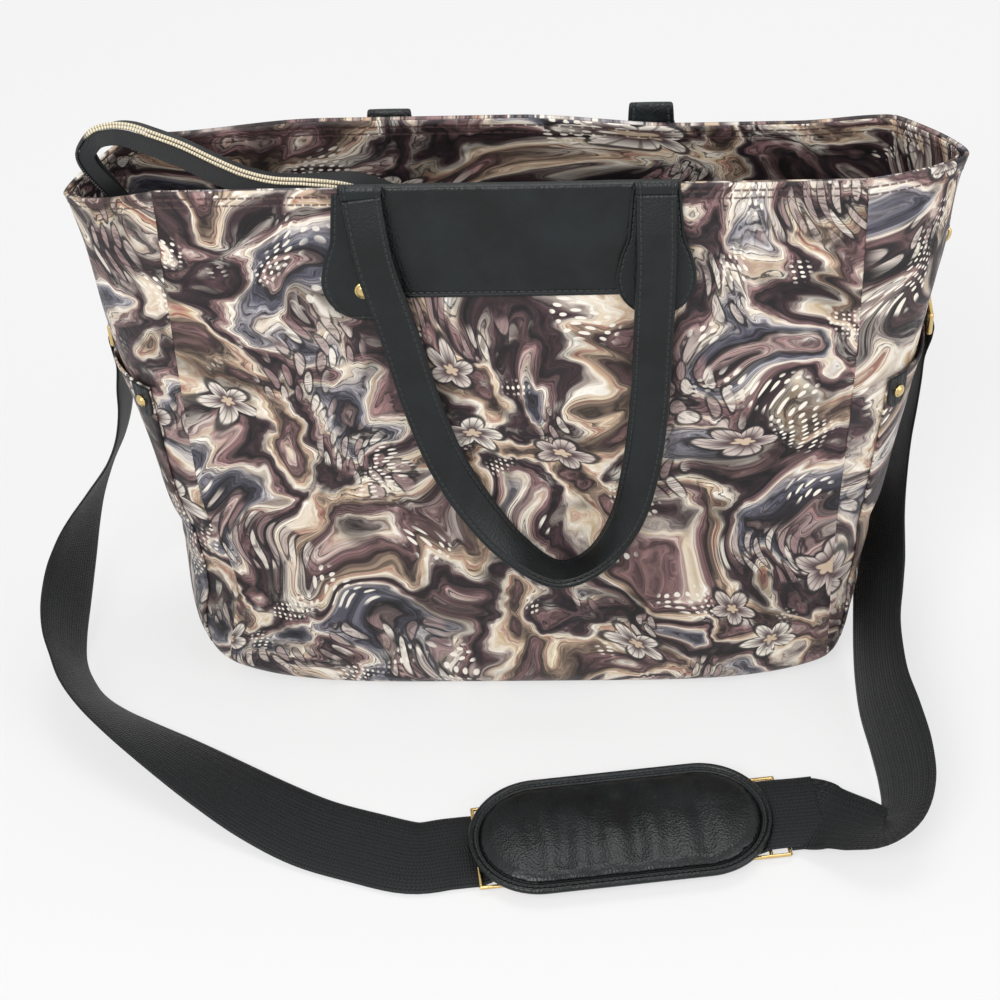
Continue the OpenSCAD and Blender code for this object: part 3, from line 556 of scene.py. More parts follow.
def frontWave(x, k, z):
    slack = calm(x, z) * (1 - k ** 4)
    wave = 2.6 * ripple(x * 0.012, z * 0.015, 1.7) + 1.1 * ripple(x * 0.03, z * 0.026, 4.2)
    wave -= 2.2 * hump(z - 0.55 * x, 178, 11) * ease((-60 - x) / 60)  # slanting pulls near the left seam
    wave -= 1.8 * hump(z - 0.3 * x, 104, 9) * ease((-70 - x) / 60)
    wave -= 1.6 * hump(z + 0.45 * x, 142, 10) * ease((x - 90) / 50)
    wave -= 1.4 * hump(z + 0.2 * x, 52, 8) * ease((abs(x) - 60) / 60)
    return wave * slack


def backWave(x, k, z):
    slack = calm(x, z) * (1 - k ** 4)
    return (2.4 * ripple(x * 0.012, z * 0.014, 8.3) + 1.0 * ripple(x * 0.03, z * 0.025, 6.6)) * slack


def sideWave(side, s, z):
    slack = math.sin(math.pi * clamp(s)) ** 0.7 * ease((z - 10) / 40) * ease((336 - z) / 30)
    slack *= 1 - 0.9 * hump(s, 0.82, 0.12) * ease((z - 225) / 25)
    wave = 2.6 * ripple(s * 2.3 + side, z * 0.013, 2.4) + 1.3 * ripple(s * 6, z * 0.024, side * 3.1)
    wave -= 2.4 * hump(z + 60 * s, 118, 9) + 1.8 * hump(z - 50 * s, 60, 8)
    return wave * slack


def seamDip(away):
    return bag["seam"] * math.exp(-(away / 2.4) ** 2)


def hemRise(z):
    return bag["hem"] * ease((z - 318.6) / 1.6) - 0.5 * hump(z, 322.2, 0.9)


def frontPoint(k, z, w=0.0, plain=False):
    t = share(z)
    half = frontHalf(t) - w
    x = k * (half - tuck(-1 if k < 0 else 1, z) * abs(k) ** 3)
    out = bag["bulge"] * (1 - k * k) * sinDeg(180 * t) + frontWave(x, k, z)
    if not plain:
        out += hemRise(z) - seamDip(half * (1 - abs(k)))
    return Vector((x, -(frontDepth(t) - w) - out + recede(k, z), z + curlUp(k, z)))


def backPoint(k, z, w=0.0, plain=False):
    t = share(z)
    half = backHalf(t) - w
    x = k * half
    out = bag["bulge"] * (1 - k * k) * sinDeg(180 * t) + backWave(x, k, z)
    if not plain:
        out += hemRise(z) - seamDip(half * (1 - abs(k)))
    rise = backRise(x, t)
    return Vector((x, backDepth(t) - w + out - bag["lean"] * rise, z + rise))  # the raised rim leans in


def sidePoint(side, s, z, w=0.0, plain=False):
    t = share(z)
    xf, xk = frontHalf(t) - w - tuck(side, z), backHalf(t) - w
    ridge = ridgeOf(clamp(s), t)
    out = foldHalf(t) + bag["spread"] * hump(z, 40, 45) * (side < 0) - w * (1 + t) - (xf + xk) / 2
    x = lerp(xf, xk, s) + out * ridge + sideWave(side, s, z)
    if not plain:
        x += hemRise(z) - seamDip(120 * min(s, 1 - s))
    rise = backRise(side * backHalf(t), t) * s ** 3
    up = rise - bag["drop"][side] * ridge * t ** 12 + curlUp(1, z) * (1 - ease(s * 1.6))
    front = -(frontDepth(t) - w) + recede(1, z)
    return Vector((side * x, lerp(front, backDepth(t) - w, s) - bag["lean"] * rise, z + up))


def sideNormal(side, s, z):
    along = sidePoint(side, s + 0.02, z, 0, True) - sidePoint(side, s - 0.02, z, 0, True)
    up = sidePoint(side, s, z + 2, 0, True) - sidePoint(side, s, z - 2, 0, True)
    return along.cross(up).normalized() * side


def sideOff(side, s, z, n):
    return sidePoint(side, s, z, 0, True) + sideNormal(side, s, z) * n


def frontOff(x, z, n):
    k = max(-1.0, min(1.0, x / frontHalf(share(z))))
    return Vector((x, frontPoint(k, z, 0, True).y - n, z))


def backOff(x, z, n):
    k = max(-1.0, min(1.0, x / backHalf(share(z))))
    return Vector((x, backPoint(k, z, 0, True).y + n, z))


def wallRows():  # height and inset, round the bottom edge and up to the rim
    edge, fine = bag["edge"], bag["fineFrom"]
    rows = [(edge * (1 - math.cos(a)), edge * (1 - math.sin(a))) for a in (math.pi / 16 * i for i in range(9))]
    rows += [(lerp(edge, fine, i / 44), 0.0) for i in range(1, 45)]
    return rows + [(lerp(fine, bag["height"], i / 20), 0.0) for i in range(1, 21)]


def makePanels():
    rows, cols, sideCols = wallRows(), bag["cols"], bag["sideCols"]
    last = len(rows) - 1

    def spread(i):
        return math.sin((2 * i / cols - 1) * math.pi / 2)

    def sides(i):
        return 0.5 - 0.5 * math.cos(math.pi * i / sideCols)

    for name, wide, across, point, shift, cloth, node, slot in (
            ("frontPanel", cols, spread, lambda k, row: frontPoint(k, *row), 0, 183, "front_panel", "print_cloth"),
            ("backPanel", cols, spread, lambda k, row: backPoint(-k, *row), 900, 195, "back_panel", "print_cloth"),
            ("rightGusset", sideCols, sides, lambda s, row: sidePoint(1, s, *row), 1500, 140, "right_gusset",
             "side_cloth"),
            ("leftGusset", sideCols, sides, lambda s, row: sidePoint(-1, 1 - s, *row), 2100, 140, "left_gusset",
             "side_cloth")):
        bm = gridMesh(wide, last, lambda i, j: point(across(i), rows[j]),
                      lambda i, j: (shift + across(i) * cloth, rows[j][0]))
        addPiece(name, bm, printCloth, node, thick=bag["wall"])

    wide, deep, half = bag["baseCols"], bag["baseRows"], bag["baseHalf"]

    def basePlace(i, j):
        k, s = lerp(1, -1, i / wide), j / deep
        side = 1 if k > 0 else -1
        reach = side * sidePoint(side, s, 0, bag["edge"], True).x
        return Vector((k * reach, lerp(recede(k, 0) - half, half, s), curlUp(k, 0) * (1 - ease(s * 1.6))))

    def boardPlace(i, j):
        at = basePlace(i, j)
        return Vector((at.x * bag["board"], at.y * bag["board"], at.z + bag["boardZ"]))

    addPiece("basePanel", gridMesh(wide, deep, basePlace, lambda i, j: (2700 + i * 9, j * 6)), printCloth,
             "base_panel", thick=bag["wall"])
    addPiece("baseBoard", gridMesh(wide, deep, boardPlace, lambda i, j: (i * 9, j * 6)), liningCloth,
             "base_board", thick=bag["boardH"])


def ringPoint(c, z, w):  # once round the body, from the front left seam
    turn = c % 1.0 * 4
    step, part = int(turn), turn - int(turn)
    if step == 0:
        return frontPoint(2 * part - 1, z, w, True)
    if step == 1:
        return sidePoint(1, part, z, w, True)
    if step == 2:
        return backPoint(1 - 2 * part, z, w, True)
    return sidePoint(-1, 1 - part, z, w, True)


inner = {"cols": 176, "pitch": 6.4, "low": 270, "top": 329.6, "facingIn": 2.35, "facingH": 0.8, "rows": 16,
         "foot": [(5.9, 8.2), (7.4, 5.2), (11, 3.2)], "from": 15, "to": 269.5, "liningIn": 2.4, "liningH": 0.6}


def makeInside():
    cols, rows, low, pitch = inner["cols"], inner["rows"], inner["low"], inner["pitch"]
    bm = gridMesh(cols, rows,
                  lambda i, j: ringPoint(i / cols, lerp(low, inner["top"], j / rows), inner["facingIn"]),
                  lambda i, j: (3300 + i * pitch, lerp(low, bag["height"], j / rows)), True)
    addPiece("facing", bm, printCloth, "facing", thick=inner["facingH"])
    heights = inner["foot"] + [(lerp(inner["from"], inner["to"], i / 30), inner["liningIn"]) for i in range(31)]
    bm = gridMesh(cols, len(heights) - 1, lambda i, j: ringPoint(i / cols, *heights[j]),
                  lambda i, j: (i * pitch, heights[j][0]), True)
    low = [e for e in bm.edges if e.is_boundary and max(v.co.z for v in e.verts) < 0.02]
    bmesh.ops.holes_fill(bm, edges=low, sides=0)
    addPiece("lining", bm, liningCloth, "lining", thick=inner["liningH"])


makePanels()
makeInside()
print("bag body sewn")

# leather patches and handle tabs
leather = {"patchHalf": 88, "patchLow": 271, "patchTop": 329.5, "patchH": 1.2, "tabR": 21, "tabLow": 260,
           "tabTurn": 112, "tabWaist": 306, "waistHalf": 14.5, "topHalf": 12.5, "tabTop": 329.4, "tabH": 1.7,
           "span": 75.5, "backSpan": 69, "backShift": 5, "rivetZ": 277,
           "lip": [(330.6, 1.3), (331.2, 0.3), (331.3, -1.2), (331.2, -3.2), (330.2, -3.9)]}


def tabHalf(z):
    r, low, waist, narrow = (leather[key] for key in ("tabR", "tabLow", "tabWaist", "waistHalf"))
    turn = low + r * (1 - math.cos(math.radians(leather["tabTurn"])))
    if z < turn:
        return math.sqrt(max(0.0, r * r - (z - low - r) ** 2))
    if z < waist:
        return lerp(r * sinDeg(leather["tabTurn"]), narrow, ease((z - turn) / (waist - turn)))
    return lerp(narrow, leather["topHalf"], (z - waist) / (leather["patchTop"] - waist))


def makeLeather():
    wide, low, top = leather["patchHalf"], leather["patchLow"], leather["patchTop"]
    flat = [(lerp(low, top, j / 20), 1.5) for j in range(21)]
    for name, off, way, node in (("frontPatch", frontOff, 1, "front_patch"),
                                 ("backPatch", backOff, -1, "back_patch")):
        rows = flat + leather["lip"] if way > 0 else flat

        def place(i, j):
            x, (z, n) = lerp(-wide, wide, i / 44) * way, rows[j]
            puff = 0.5 * ripple(x * 0.03, z * 0.05, 9.1) * ease((wide - abs(x)) / 14) * ease((z - low) / 10)
            return off(x, z, n + max(-0.2, min(0.25, puff)))

        def cutAt(i, j):
            x, z = lerp(-wide, wide, i / 44), rows[j][0]
            return (min(wide - abs(x), z - low, 60), x if z - low < wide - abs(x) else z)

        addPiece(name, gridMesh(44, len(rows) - 1, place, cutAt), sewnLeather, node,
                 thick=leather["patchH"], edge=0.35)
    low, r = leather["tabLow"] + 0.15, leather["tabR"]
    rows = [low + r * (1 - math.cos(math.radians(a))) for a in range(0, 100, 9)]
    rows += [lerp(rows[-1], leather["tabTop"], i / 14) for i in range(1, 15)]
    for name, off, way, mid, node in (("frontLeftTab", frontOff, 1, -78.5, "front_left_tab"),
                                      ("frontRightTab", frontOff, 1, 75.5, "front_right_tab"),
                                      ("backLeftTab", backOff, -1, -64, "back_left_tab"),
                                      ("backRightTab", backOff, -1, 74, "back_right_tab")):
        def place(i, j):
            k, z = math.sin(lerp(-1, 1, i / 12) * math.pi / 2), rows[j]
            return off(mid + way * k * tabHalf(z), z, 3.5 + 0.35 * (1 - k * k))

        def cutAt(i, j):
            k, z = abs(math.sin(lerp(-1, 1, i / 12) * math.pi / 2)), rows[j]
            return (min(tabHalf(z) * (1 - k), z - rows[0] + 3 * k), z)

        addPiece(name, gridMesh(12, len(rows) - 1, place, cutAt), sewnLeather, node,
                 thick=leather["tabH"], edge=0.5)


makeLeather()


# straps swept along their route points
def aim(az, el):
    a, e = math.radians(az), math.radians(el)
    return Vector((math.cos(a) * math.cos(e), math.sin(a) * math.cos(e), math.sin(e)))


def smoothRoute(route, steps):
    points = [(Vector(p[:3]), aim(p[3], p[4])) for p in route]
    last = len(points) - 1
    line = []
    for i in range(last):
        four = [points[max(0, i - 1)], points[i], points[i + 1], points[min(last, i + 2)]]
        for k in range(steps):
            t = k / steps
            line.append([0.5 * (2 * b + (c - a) * t + (2 * a - 5 * b + 4 * c - d) * t * t
                                + (3 * b - a - 3 * c + d) * t ** 3) for a, b, c, d in zip(*four)])
    line.append(list(points[last]))
    made, run = [], 0.0
    for i, (place, wide) in enumerate(line):
        ahead = (line[min(len(line) - 1, i + 1)][0] - line[max(0, i - 1)][0]).normalized()
        wide = (wide - ahead * wide.dot(ahead)).normalized()
        if i:
            run += (place - line[i - 1][0]).length
        made.append((place, wide, ahead.cross(wide), run))
    return made


def sweepMesh(line, profile, sizeAt=None, cutAt=None):
    around = len(profile)

    def place(i, j):
        w, n = profile[i % around]
        at, wide, up = line[j][:3]
        sw, sn = sizeAt(j) if sizeAt else (1, 1)
        return at + wide * w * sw + up * n * sn

    def cut(i, j):
        w, run = profile[i % around][0], line[j][3]
        return cutAt(w, run) if cutAt else (w, run)

    return gridMesh(around, len(line) - 1, place, cut, True, True)


def ribbon(half, thick, bulge=0.0):  # strap section with rounded edges
    r = thick / 2
    top = [(half * k, r + bulge * (1 - k * k)) for k in (0.93, 0.6, 0.2, -0.2, -0.6, -0.93)]
    low = [(half * k, -r) for k in (-0.93, -0.4, 0.4, 0.93)]
    return low + [(half, -r * 0.35), (half, r * 0.35)] + top + [(-half, r * 0.35), (-half, -r * 0.35)]


handle = {"line": [
    (-1, 0.2, 1.4, 0, 0), (-0.97, 2, 18, 0, 6), (-0.92, 3.1, 39, 0, 11), (-0.8, 3.4, 72, 0, 13),
    (-0.67, 3.2, 114, 6, 18), (-0.5, 4, 154, 22, 22), (-0.26, 5.2, 187, 46, 20), (0, 6.2, 212, 70, 10),
    (0.28, 6.8, 226, 90, 0), (0.56, 6.4, 217, 112, -6), (0.78, 5.4, 190, 140, -6), (0.89, 4.4, 156, 162, 0),
    (0.95, 3.6, 118, 174, 2), (0.98, 3.4, 75, 178, 2), (1, 2.8, 38, 180, 1), (1, 2, 18, 180, 0),
    (1, 0.2, 1.4, 180, 0)], "half": 10.5, "thick": 3.4, "bulge": 0.5, "off": 6.2,
    "foldThick": 1.9, "foldRise": {1: 4.2, -1: 9.5}}


def makeHandles():
    half, rim = handle["half"], bag["height"]
    section = ribbon(half, handle["thick"], handle["bulge"])

    def sewnEdge(w, run):
        return half - abs(w), run

    for name, off, way, mid, span, body in (
            ("frontHandle", frontOff, 1, 0, leather["span"], "front_handle"),
            ("backHandle", backOff, -1, leather["backShift"], leather["backSpan"], "back_handle")):
        route = []
        for k, out, down, az, el in handle["line"]:
            at = off(mid + k * span, rim - down, handle["off"] + out)
            route.append((at.x, at.y, at.z, way * az, el))
        line = smoothRoute(route, 8)
        total = line[-1][3]

        def sizeAt(j):
            near = min(line[j][3], total - line[j][3])
            return 1, lerp(0.62, 1, ease(near / 26))

        addPiece(name, sweepMesh(line, section, sizeAt, sewnEdge), sewnLeather, body, body)
        rise = handle["foldRise"][way]
        arch = [(2.75, -3.2), (2.75, 0.4), (3.3, rise * 0.7), (4.55, rise), (5.8, rise * 0.72), (6.35, 0.2),
                (6.5, -3.4)]
        for side, tag in ((-1, "Left"), (1, "Right")):
            x = mid + side * span
            y0 = off(x, rim, 0).y
            fold = smoothRoute([(x, y0 - way * n, rim + up, 0 if way > 0 else 180, 0) for n, up in arch], 6)
            last = len(fold) - 1
            bm = sweepMesh(fold, ribbon(half, handle["foldThick"], 0.15),
                           lambda j: (lerp(1.17, 1, ease(j / last)), 1), sewnEdge)
            made = addPiece(name.replace("Handle", tag + "Fold"), bm, sewnLeather, body=None)
            (y0 - way * 3.2) * mm
            (y0 - way * 6.0) * mm
            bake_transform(made)


makeHandles()
print("leather and handles done")

# rivets, turned from one profile
rivet = {"profile": [(0.01, 2.4), (1.5, 2.3), (2.8, 1.85), (3.55, 1.1), (3.7, 0.75), (4.4, 0.7), (4.6, 0.4),
                     (4.6, 0)], "out": 2, "stand": 4.0, "sideStand": 3.7, "sideSize": 0.8, "sideDown": 10.5}


def rivetMesh(bm, place, normal, size):
    new = bmesh.new()
    verts = [new.verts.new((r * size * mm, 0, h * size * mm)) for r, h in rivet["profile"]]
    edges = [new.edges.new(pair) for pair in zip(verts, verts[1:])]
    bmesh.ops.spin(new, geom=verts + edges, cent=(0, 0, 0), axis=(0, 0, 1), angle=2 * math.pi, steps=28,
                   use_merge=True)
    bmesh.ops.remove_doubles(new, verts=new.verts, dist=2e-5)
    bmesh.ops.recalc_face_normals(new, faces=new.faces)
    turn = Vector((0, 0, 1)).rotation_difference(normal).to_matrix().to_4x4()
    turn.translation = place * mm
    bmesh.ops.transform(new, matrix=turn, verts=new.verts)
    joinMesh(bm, new)


def makeRivets():
    front, back, side = bmesh.new(), bmesh.new(), bmesh.new()
    z, sideZ = leather["rivetZ"], pocket["top"] - rivet["sideDown"]
    for s in (-1, 1):
        for bm, off, way, mid, span in ((front, frontOff, 1, 0, leather["span"]),
                                        (back, backOff, -1, leather["backShift"], leather["backSpan"])):
            x = mid + s * (span + rivet["out"])
            up = off(x, z + 2, 0) - off(x, z - 2, 0)
            rivetMesh(bm, off(x, z, rivet["stand"]), Vector((way, 0, 0)).cross(up).normalized(), 1.0)
        for place in pocket["tabs"]:
            at = sideOff(s, place, sideZ, rivet["sideStand"])
            rivetMesh(side, at, sideNormal(s, place, sideZ), rivet["sideSize"])
    for name, bm, node in (("frontRivets", front, "front_rivets"), ("backRivets", back, "back_rivets"),
                           ("pocketRivets", side, "pocket_rivets")):
        addPiece(name, bm, goldMetal, node)


# side pockets with their tabs
pocket = {"top": 210, "low": 14.5, "from": 0.1, "to": 0.9, "off": 1.7, "lowOff": 0.5, "gape": 1.6, "hem": 0.5,
          "thick": 1.2, "tabs": (0.145, 0.855), "tabHalf": 0.045, "tabH": 19.4, "tabDown": 20, "tabOff": 3.4,
          "tabThick": 1.5}


def makePockets():
    low, top = pocket["low"], pocket["top"]
    for side, tag in ((-1, "left"), (1, "right")):
        def place(i, j):
            s, z = lerp(pocket["from"], pocket["to"], i / 40), lerp(low, top, j / 50)
            if side < 0:
                s = 1 - s
            gape = pocket["gape"] * math.sin(math.pi * i / 40) * ease((z - top + 24) / 24)
            off = lerp(pocket["lowOff"], pocket["off"], ease((z - low) / 10))
            return sideOff(side, s, z, off + gape + pocket["hem"] * ease((z - top + 8) / 1.5))

        bm = gridMesh(40, 50, place, lambda i, j: (4400 + side * 400 + i * 2.8, j * 4))
        addPiece(tag + "Pocket", bm, printCloth, tag + "_side_pocket", thick=pocket["thick"])
        bm = bmesh.new()
        for mid in pocket["tabs"]:
            def tabPlace(i, j):
                k, up = lerp(-1, 1, i / 10) * side, j / 12 * pocket["tabH"]
                narrow = math.sqrt(max(0.05, 1 - clamp((6.5 - up) / 7) ** 2))
                s = mid + pocket["tabHalf"] * k * narrow
                return sideOff(side, s, top - pocket["tabDown"] + up, pocket["tabOff"])

            joinMesh(bm, gridMesh(10, 12, tabPlace, lambda i, j: (5 * (1 - abs(lerp(-1, 1, i / 10))), j * 1.6)))
        addPiece(tag + "PocketTabs", bm, sewnLeather, tag + "_pocket_tabs",
                 thick=pocket["tabThick"], edge=0.4)


makePockets()
makeRivets()


# cast and bent fittings keep the solid's form, with softened edges
def castPiece(name, node, finish, wide=0.25):
    bm = bmesh.new()
    bm.from_mesh(frame["nodes"][node].data)
    bmesh.ops.remove_doubles(bm, verts=bm.verts, dist=1e-6)
    bmesh.ops.dissolve_limit(bm, angle_limit=math.radians(1), verts=bm.verts, edges=bm.edges)
    made = addPiece(name, bm, finish, node, frame["nodes"][node]["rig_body"], edge=wide)
    made.data.set_sharp_from_angle(angle=math.radians(38))


for tag in ("left", "right"):
    for part in ("d_ring", "hook", "gate", "hook_eye", "adjuster"):
        name = tag + "".join(word.capitalize() for word in part.split("_"))
        castPiece(name, tag + "_" + part, goldMetal)
    castPiece(tag + "RingTab", tag + "_ring_tab", softLeather, 0.4)
castPiece("zipSlider", "zip_slider", goldMetal)
castPiece("zipPull", "zip_pull", goldMetal)
print("pockets, rivets and fittings done")

# shoulder strap
strap = {"half": 25, "thick": 1.4, "padAt": (54, -181), "padTurn": 7.5, "low": 0.8, "over": 5.0, "bar": 2.9,
         "eyeX": 226.931, "eyeY": 32.072, "eyeZ": 207.2, "loop": 2.75, "side": 226.8, "top": 207, "pitch": 10.5,
         "leads": (6, 16, 36), "leftSlide": -70, "rightSlide": 80, "rightEnd": 91.9,
         "left": [(-228, 31, 187, 90, 0), (-230, 29, 170, 90, -3), (-231.5, 27, 152, 90, -6),
                  (-235, 24, 132, 88, -10), (-242, 20, 114, 86, -14), (-252.5, 15, 97, 83, -19),
                  (-262, 9, 80, 77, -25), (-269, 0, 64, 69, -33), (-273.5, -11, 50, 61, -42),
                  (-276, -26, 39, 54, -50), (-276.5, -42, 31.5, 49, -57), (-274, -58, 27, 47, -61),
                  (-267.5, -73, 24.5, 47, -60), (-258.5, -88, 22, 49, -54), (-244.5, -102, 19.6, 51, -46),
                  (-226.5, -115, 16.6, 53, -37), (-201.5, -131, 12.6, 55, -26), (-173, -149, 8, 58, -15),
                  (-146, -165, 4.1, 64, -6), (-118, -179, 1.5, 73, -1), (-88, -189, 0.8, 84, 0)],
         "right": [(226, 31, 187, 90, 0), (225, 30, 170, 91, -2), (223, 28, 150, 93, -5), (220, 25, 128, 96, -9),
                   (217.5, 20, 104, 100, -15), (215, 13, 82, 106, -22), (212, 3, 62, 118, -32),
                   (209.5, -12, 45, 134, -44), (207.5, -31, 34, 146, -53), (205.5, -52, 27, 152, -58),
                   (205, -73, 24, 154, -59), (206, -97, 23, 156, -59), (210, -123, 22.8, 160, -58),
                   (213, -147, 22, 156, -56), (213, -167, 20.4, 138, -51), (208, -182, 18, 118, -43),
                   (199, -188, 14.8, 98, -33), (189, -185, 10.8, 82, -22), (178, -178, 7, 74, -12),
                   (166, -172, 4.2, 82, -4)]}


def padPoint(d, z, e=0.0):
    a = math.radians(strap["padTurn"])
    x, y = strap["padAt"]
    return Vector((x + d * math.cos(a) - e * math.sin(a), y + d * math.sin(a) + e * math.cos(a), z))


def onPad(d, z):
    return tuple(padPoint(d, z)) + (strap["padTurn"] + 90, 0)


def eyeLoop(side):
    r = strap["loop"]
    turns = ((-1.7, -15), (-2.2, -7), (-r, 0), (-0.7 * r, 0.7 * r), (0, r), (0.7 * r, 0.7 * r), (r, 0), (2.2, -7))
    return [(side * (strap["eyeX"] + a), strap["eyeY"], strap["eyeZ"] + b, 90, 0) for a, b in turns]


def follow(p, side):  # a route point moves with the hook's eye
    up = clamp(p[2] / strap["top"]) ** 2
    beside = clamp((p[1] + 190) / 90)
    out = side * beside * (strap["eyeX"] - strap["side"]) * up
    return (p[0] + out, p[1], p[2] + up * (strap["eyeZ"] - strap["top"]), p[3], p[4])


def through(d):
    low, over, pitch = strap["low"], strap["over"], strap["pitch"]
    half = (low + over) / 2
    return [onPad(d - pitch - strap["leads"][0], low), onPad(d - pitch, low), onPad(d - pitch / 2, half),
            onPad(d, over), onPad(d + pitch / 2, half), onPad(d + pitch, low)]


def before(d):
    return [onPad(d - strap["pitch"] - k, strap["low"]) for k in strap["leads"][:0:-1]]


def after(d):
    return [onPad(d + strap["pitch"] + k, strap["low"]) for k in strap["leads"]]


def makeStraps():
    left, right, end = strap["leftSlide"], strap["rightSlide"], strap["rightEnd"]
    leftRoute = eyeLoop(-1) + [follow(p, -1) for p in strap["left"]] + before(left) + through(left) + after(left)
    leftRoute += [onPad(0, strap["low"])] + before(right) + through(right)[:-2]
    rightRoute = eyeLoop(1) + [follow(p, 1) for p in strap["right"]]
    rightRoute += [onPad(end + k, strap["bar"]) for k in (13, 6, 0)]
    section = ribbon(strap["half"], strap["thick"])
    for name, route, node in (("leftStrap", leftRoute, "strap_left"), ("rightStrap", rightRoute, "strap_right")):
        line = smoothRoute(route, 6)
        made = addPiece(name, sweepMesh(line, section), webbing, node)
        path = [tuple(point[0] * mm) for point in line]
        line[-1][3] * mm
        print(name, round(line[-1][3]), "mm long")


def makeStrapEnd():  # the right end turned back over its slide and sewn down
    low, high = strap["bar"] + strap["thick"] + 0.1, strap["bar"] + 2.0
    route = ((112, low), (104, low), (97, low + 0.15), (90.5, high), (85, high), (80, high - 0.2))
    line = smoothRoute([onPad(d, z) for d, z in route], 5)
    addPiece("strapEnd", sweepMesh(line, ribbon(strap["half"] - 0.6, strap["thick"] * 0.9)), webbing)


makeStraps()
makeStrapEnd()

# shoulder pad, swollen by a short cloth run
pad = {"straight": 45, "cover": 35.9, "z": 6.0, "base": 1.6, "rise": 6.6, "pipe": 1.9, "pipeLine": 38.1,
       "voxel": 0.003, "pressure": 4.0, "cap": 0.004, "heldH": 0.0022, "frames": 20, "flange": 33.4,
       "around": 120, "wallIn": 1.8, "evenings": 10,
       "rows": [(0.5, -0.1), (0.0, 0.05), (0.5, 0.3), (2, 0.52), (5, 0.7), (10, 0.83), (18, 0.9), (26, 0.92)],
       "lip": [(37.4, 8.7), (36.4, 9.0), (35.2, 8.8), (34.0, 8.3), (33.0, 7.4), (32.6, 6.6)], "lipAround": 200,
       "folds": ((-50, 4.5, 1.6), (-33, 5, 2.1), (-15, 4.5, 1.8), (6, 5, 2.2), (24, 4.5, 1.5), (44, 5, 2.0))}


def stadium(share, r):
    straight = pad["straight"]
    bend = math.pi * r
    whole = 2 * bend + 4 * straight
    run = share % 1.0 * whole
    if run < bend:
        a = -math.pi / 2 + run / r
        return straight + r * math.cos(a), r * math.sin(a)
    run -= bend
    if run < 2 * straight:
        return straight - run, r
    run -= 2 * straight
    if run < bend:
        a = math.pi / 2 + run / r
        return -straight + r * math.cos(a), r * math.sin(a)
    return -straight + run - bend, -r


def padRing(share, r, z):
    d, e = stadium(share, r)
    return padPoint(d, z, e)


def swell(piece):
    remesh = piece.modifiers.new("remesh", "REMESH")
    remesh.mode = "VOXEL"
    remesh.voxel_size = pad["voxel"]
    bpy.context.view_layer.objects.active = piece
    bpy.ops.object.modifier_apply(modifier=remesh.name)
    rest = [v.co.copy() for v in piece.data.vertices]
    floorZ = min(p.z for p in rest)
    held = piece.vertex_groups.new(name="held")
    held.add([i for i, p in enumerate(rest) if p.z < floorZ + pad["heldH"]], 1.0, "REPLACE")
    cloth = piece.modifiers.new("cloth", "CLOTH")
    cloth.settings.use_pressure = True
    cloth.settings.uniform_pressure_force = pad["pressure"]
    cloth.settings.effector_weights.gravity = 0
    cloth.settings.vertex_group_mass = "held"
    for step in range(1, pad["frames"] + 1):
        scene.frame_set(step)
    shaped = piece.evaluated_get(bpy.context.evaluated_depsgraph_get())
    moved = [v.co.copy() for v in shaped.data.vertices]
    piece.modifiers.remove(cloth)
    scene.frame_set(1)
    for vert, a, b in zip(piece.data.vertices, rest, moved):
        step = b - a
        vert.co = a + (step if step.length < pad["cap"] else step.normalized() * pad["cap"])


def onCover(at):  # along the pad, across it, and in from the cover's edge
    turn = math.radians(strap["padTurn"])
    x, y = at.x / mm - strap["padAt"][0], at.y / mm - strap["padAt"][1]
    d, e = x * math.cos(turn) + y * math.sin(turn), y * math.cos(turn) - x * math.sin(turn)
    return d, e, pad["flange"] - math.hypot(max(0.0, abs(d) - pad["straight"]), e)


def shoulder(inset):  # height of the cover near its edge
    rows = pad["rows"]
    for (a, low), (b, high) in zip(rows[1:], rows[2:]):
        if inset < b:
            return pad["rise"] * lerp(low, high, clamp((inset - a) / (b - a)))
    return pad["rise"] * rows[-1][1]


def shapeCover(cover, top):
    even = bmesh.new()
    even.from_mesh(cover.data)
    even.normal_update()
    upper = [v for v in even.verts if v.normal.z > 0.25]
    for turns in range(pad["evenings"]):
        bmesh.ops.smooth_vert(even, verts=upper, factor=0.5, use_axis_z=True)
    for vert in even.verts:  # an even wall, whatever the voxels left
        d, e, inset = onCover(vert.co)
        h = (vert.co.z / mm - top) / pad["rise"]
        if inset < pad["wallIn"] and h > -0.06:
            mid = max(-pad["straight"], min(pad["straight"], d))
            grow = (pad["flange"] - 2 * clamp((h - 0.05) / 0.47) ** 2) / (pad["flange"] - inset)
            vert.co = padPoint(mid + (d - mid) * grow, vert.co.z / mm, e * grow) * mm
    for vert in upper:
        d, e, inset = onCover(vert.co)
        vert.co.z = lerp(top + shoulder(inset), vert.co.z / mm, ease((inset - 2) / 9)) * mm
        dip = sum(deep * hump(d + 1.6 * math.sin(e * 0.09 + at), at, wide) for at, wide, deep in pad["folds"])
        dip += 0.35 * ripple(d * 0.06, e * 0.05, 3.3)
        vert.co.z -= dip * ease((inset - 1) / 9) * mm
    for turns in range(2):
        bmesh.ops.smooth_vert(even, verts=upper, factor=0.5, use_axis_z=True)
    even.to_mesh(cover.data)
    even.free()
    cover.data.polygons.foreach_set("use_smooth", [True] * len(cover.data.polygons))


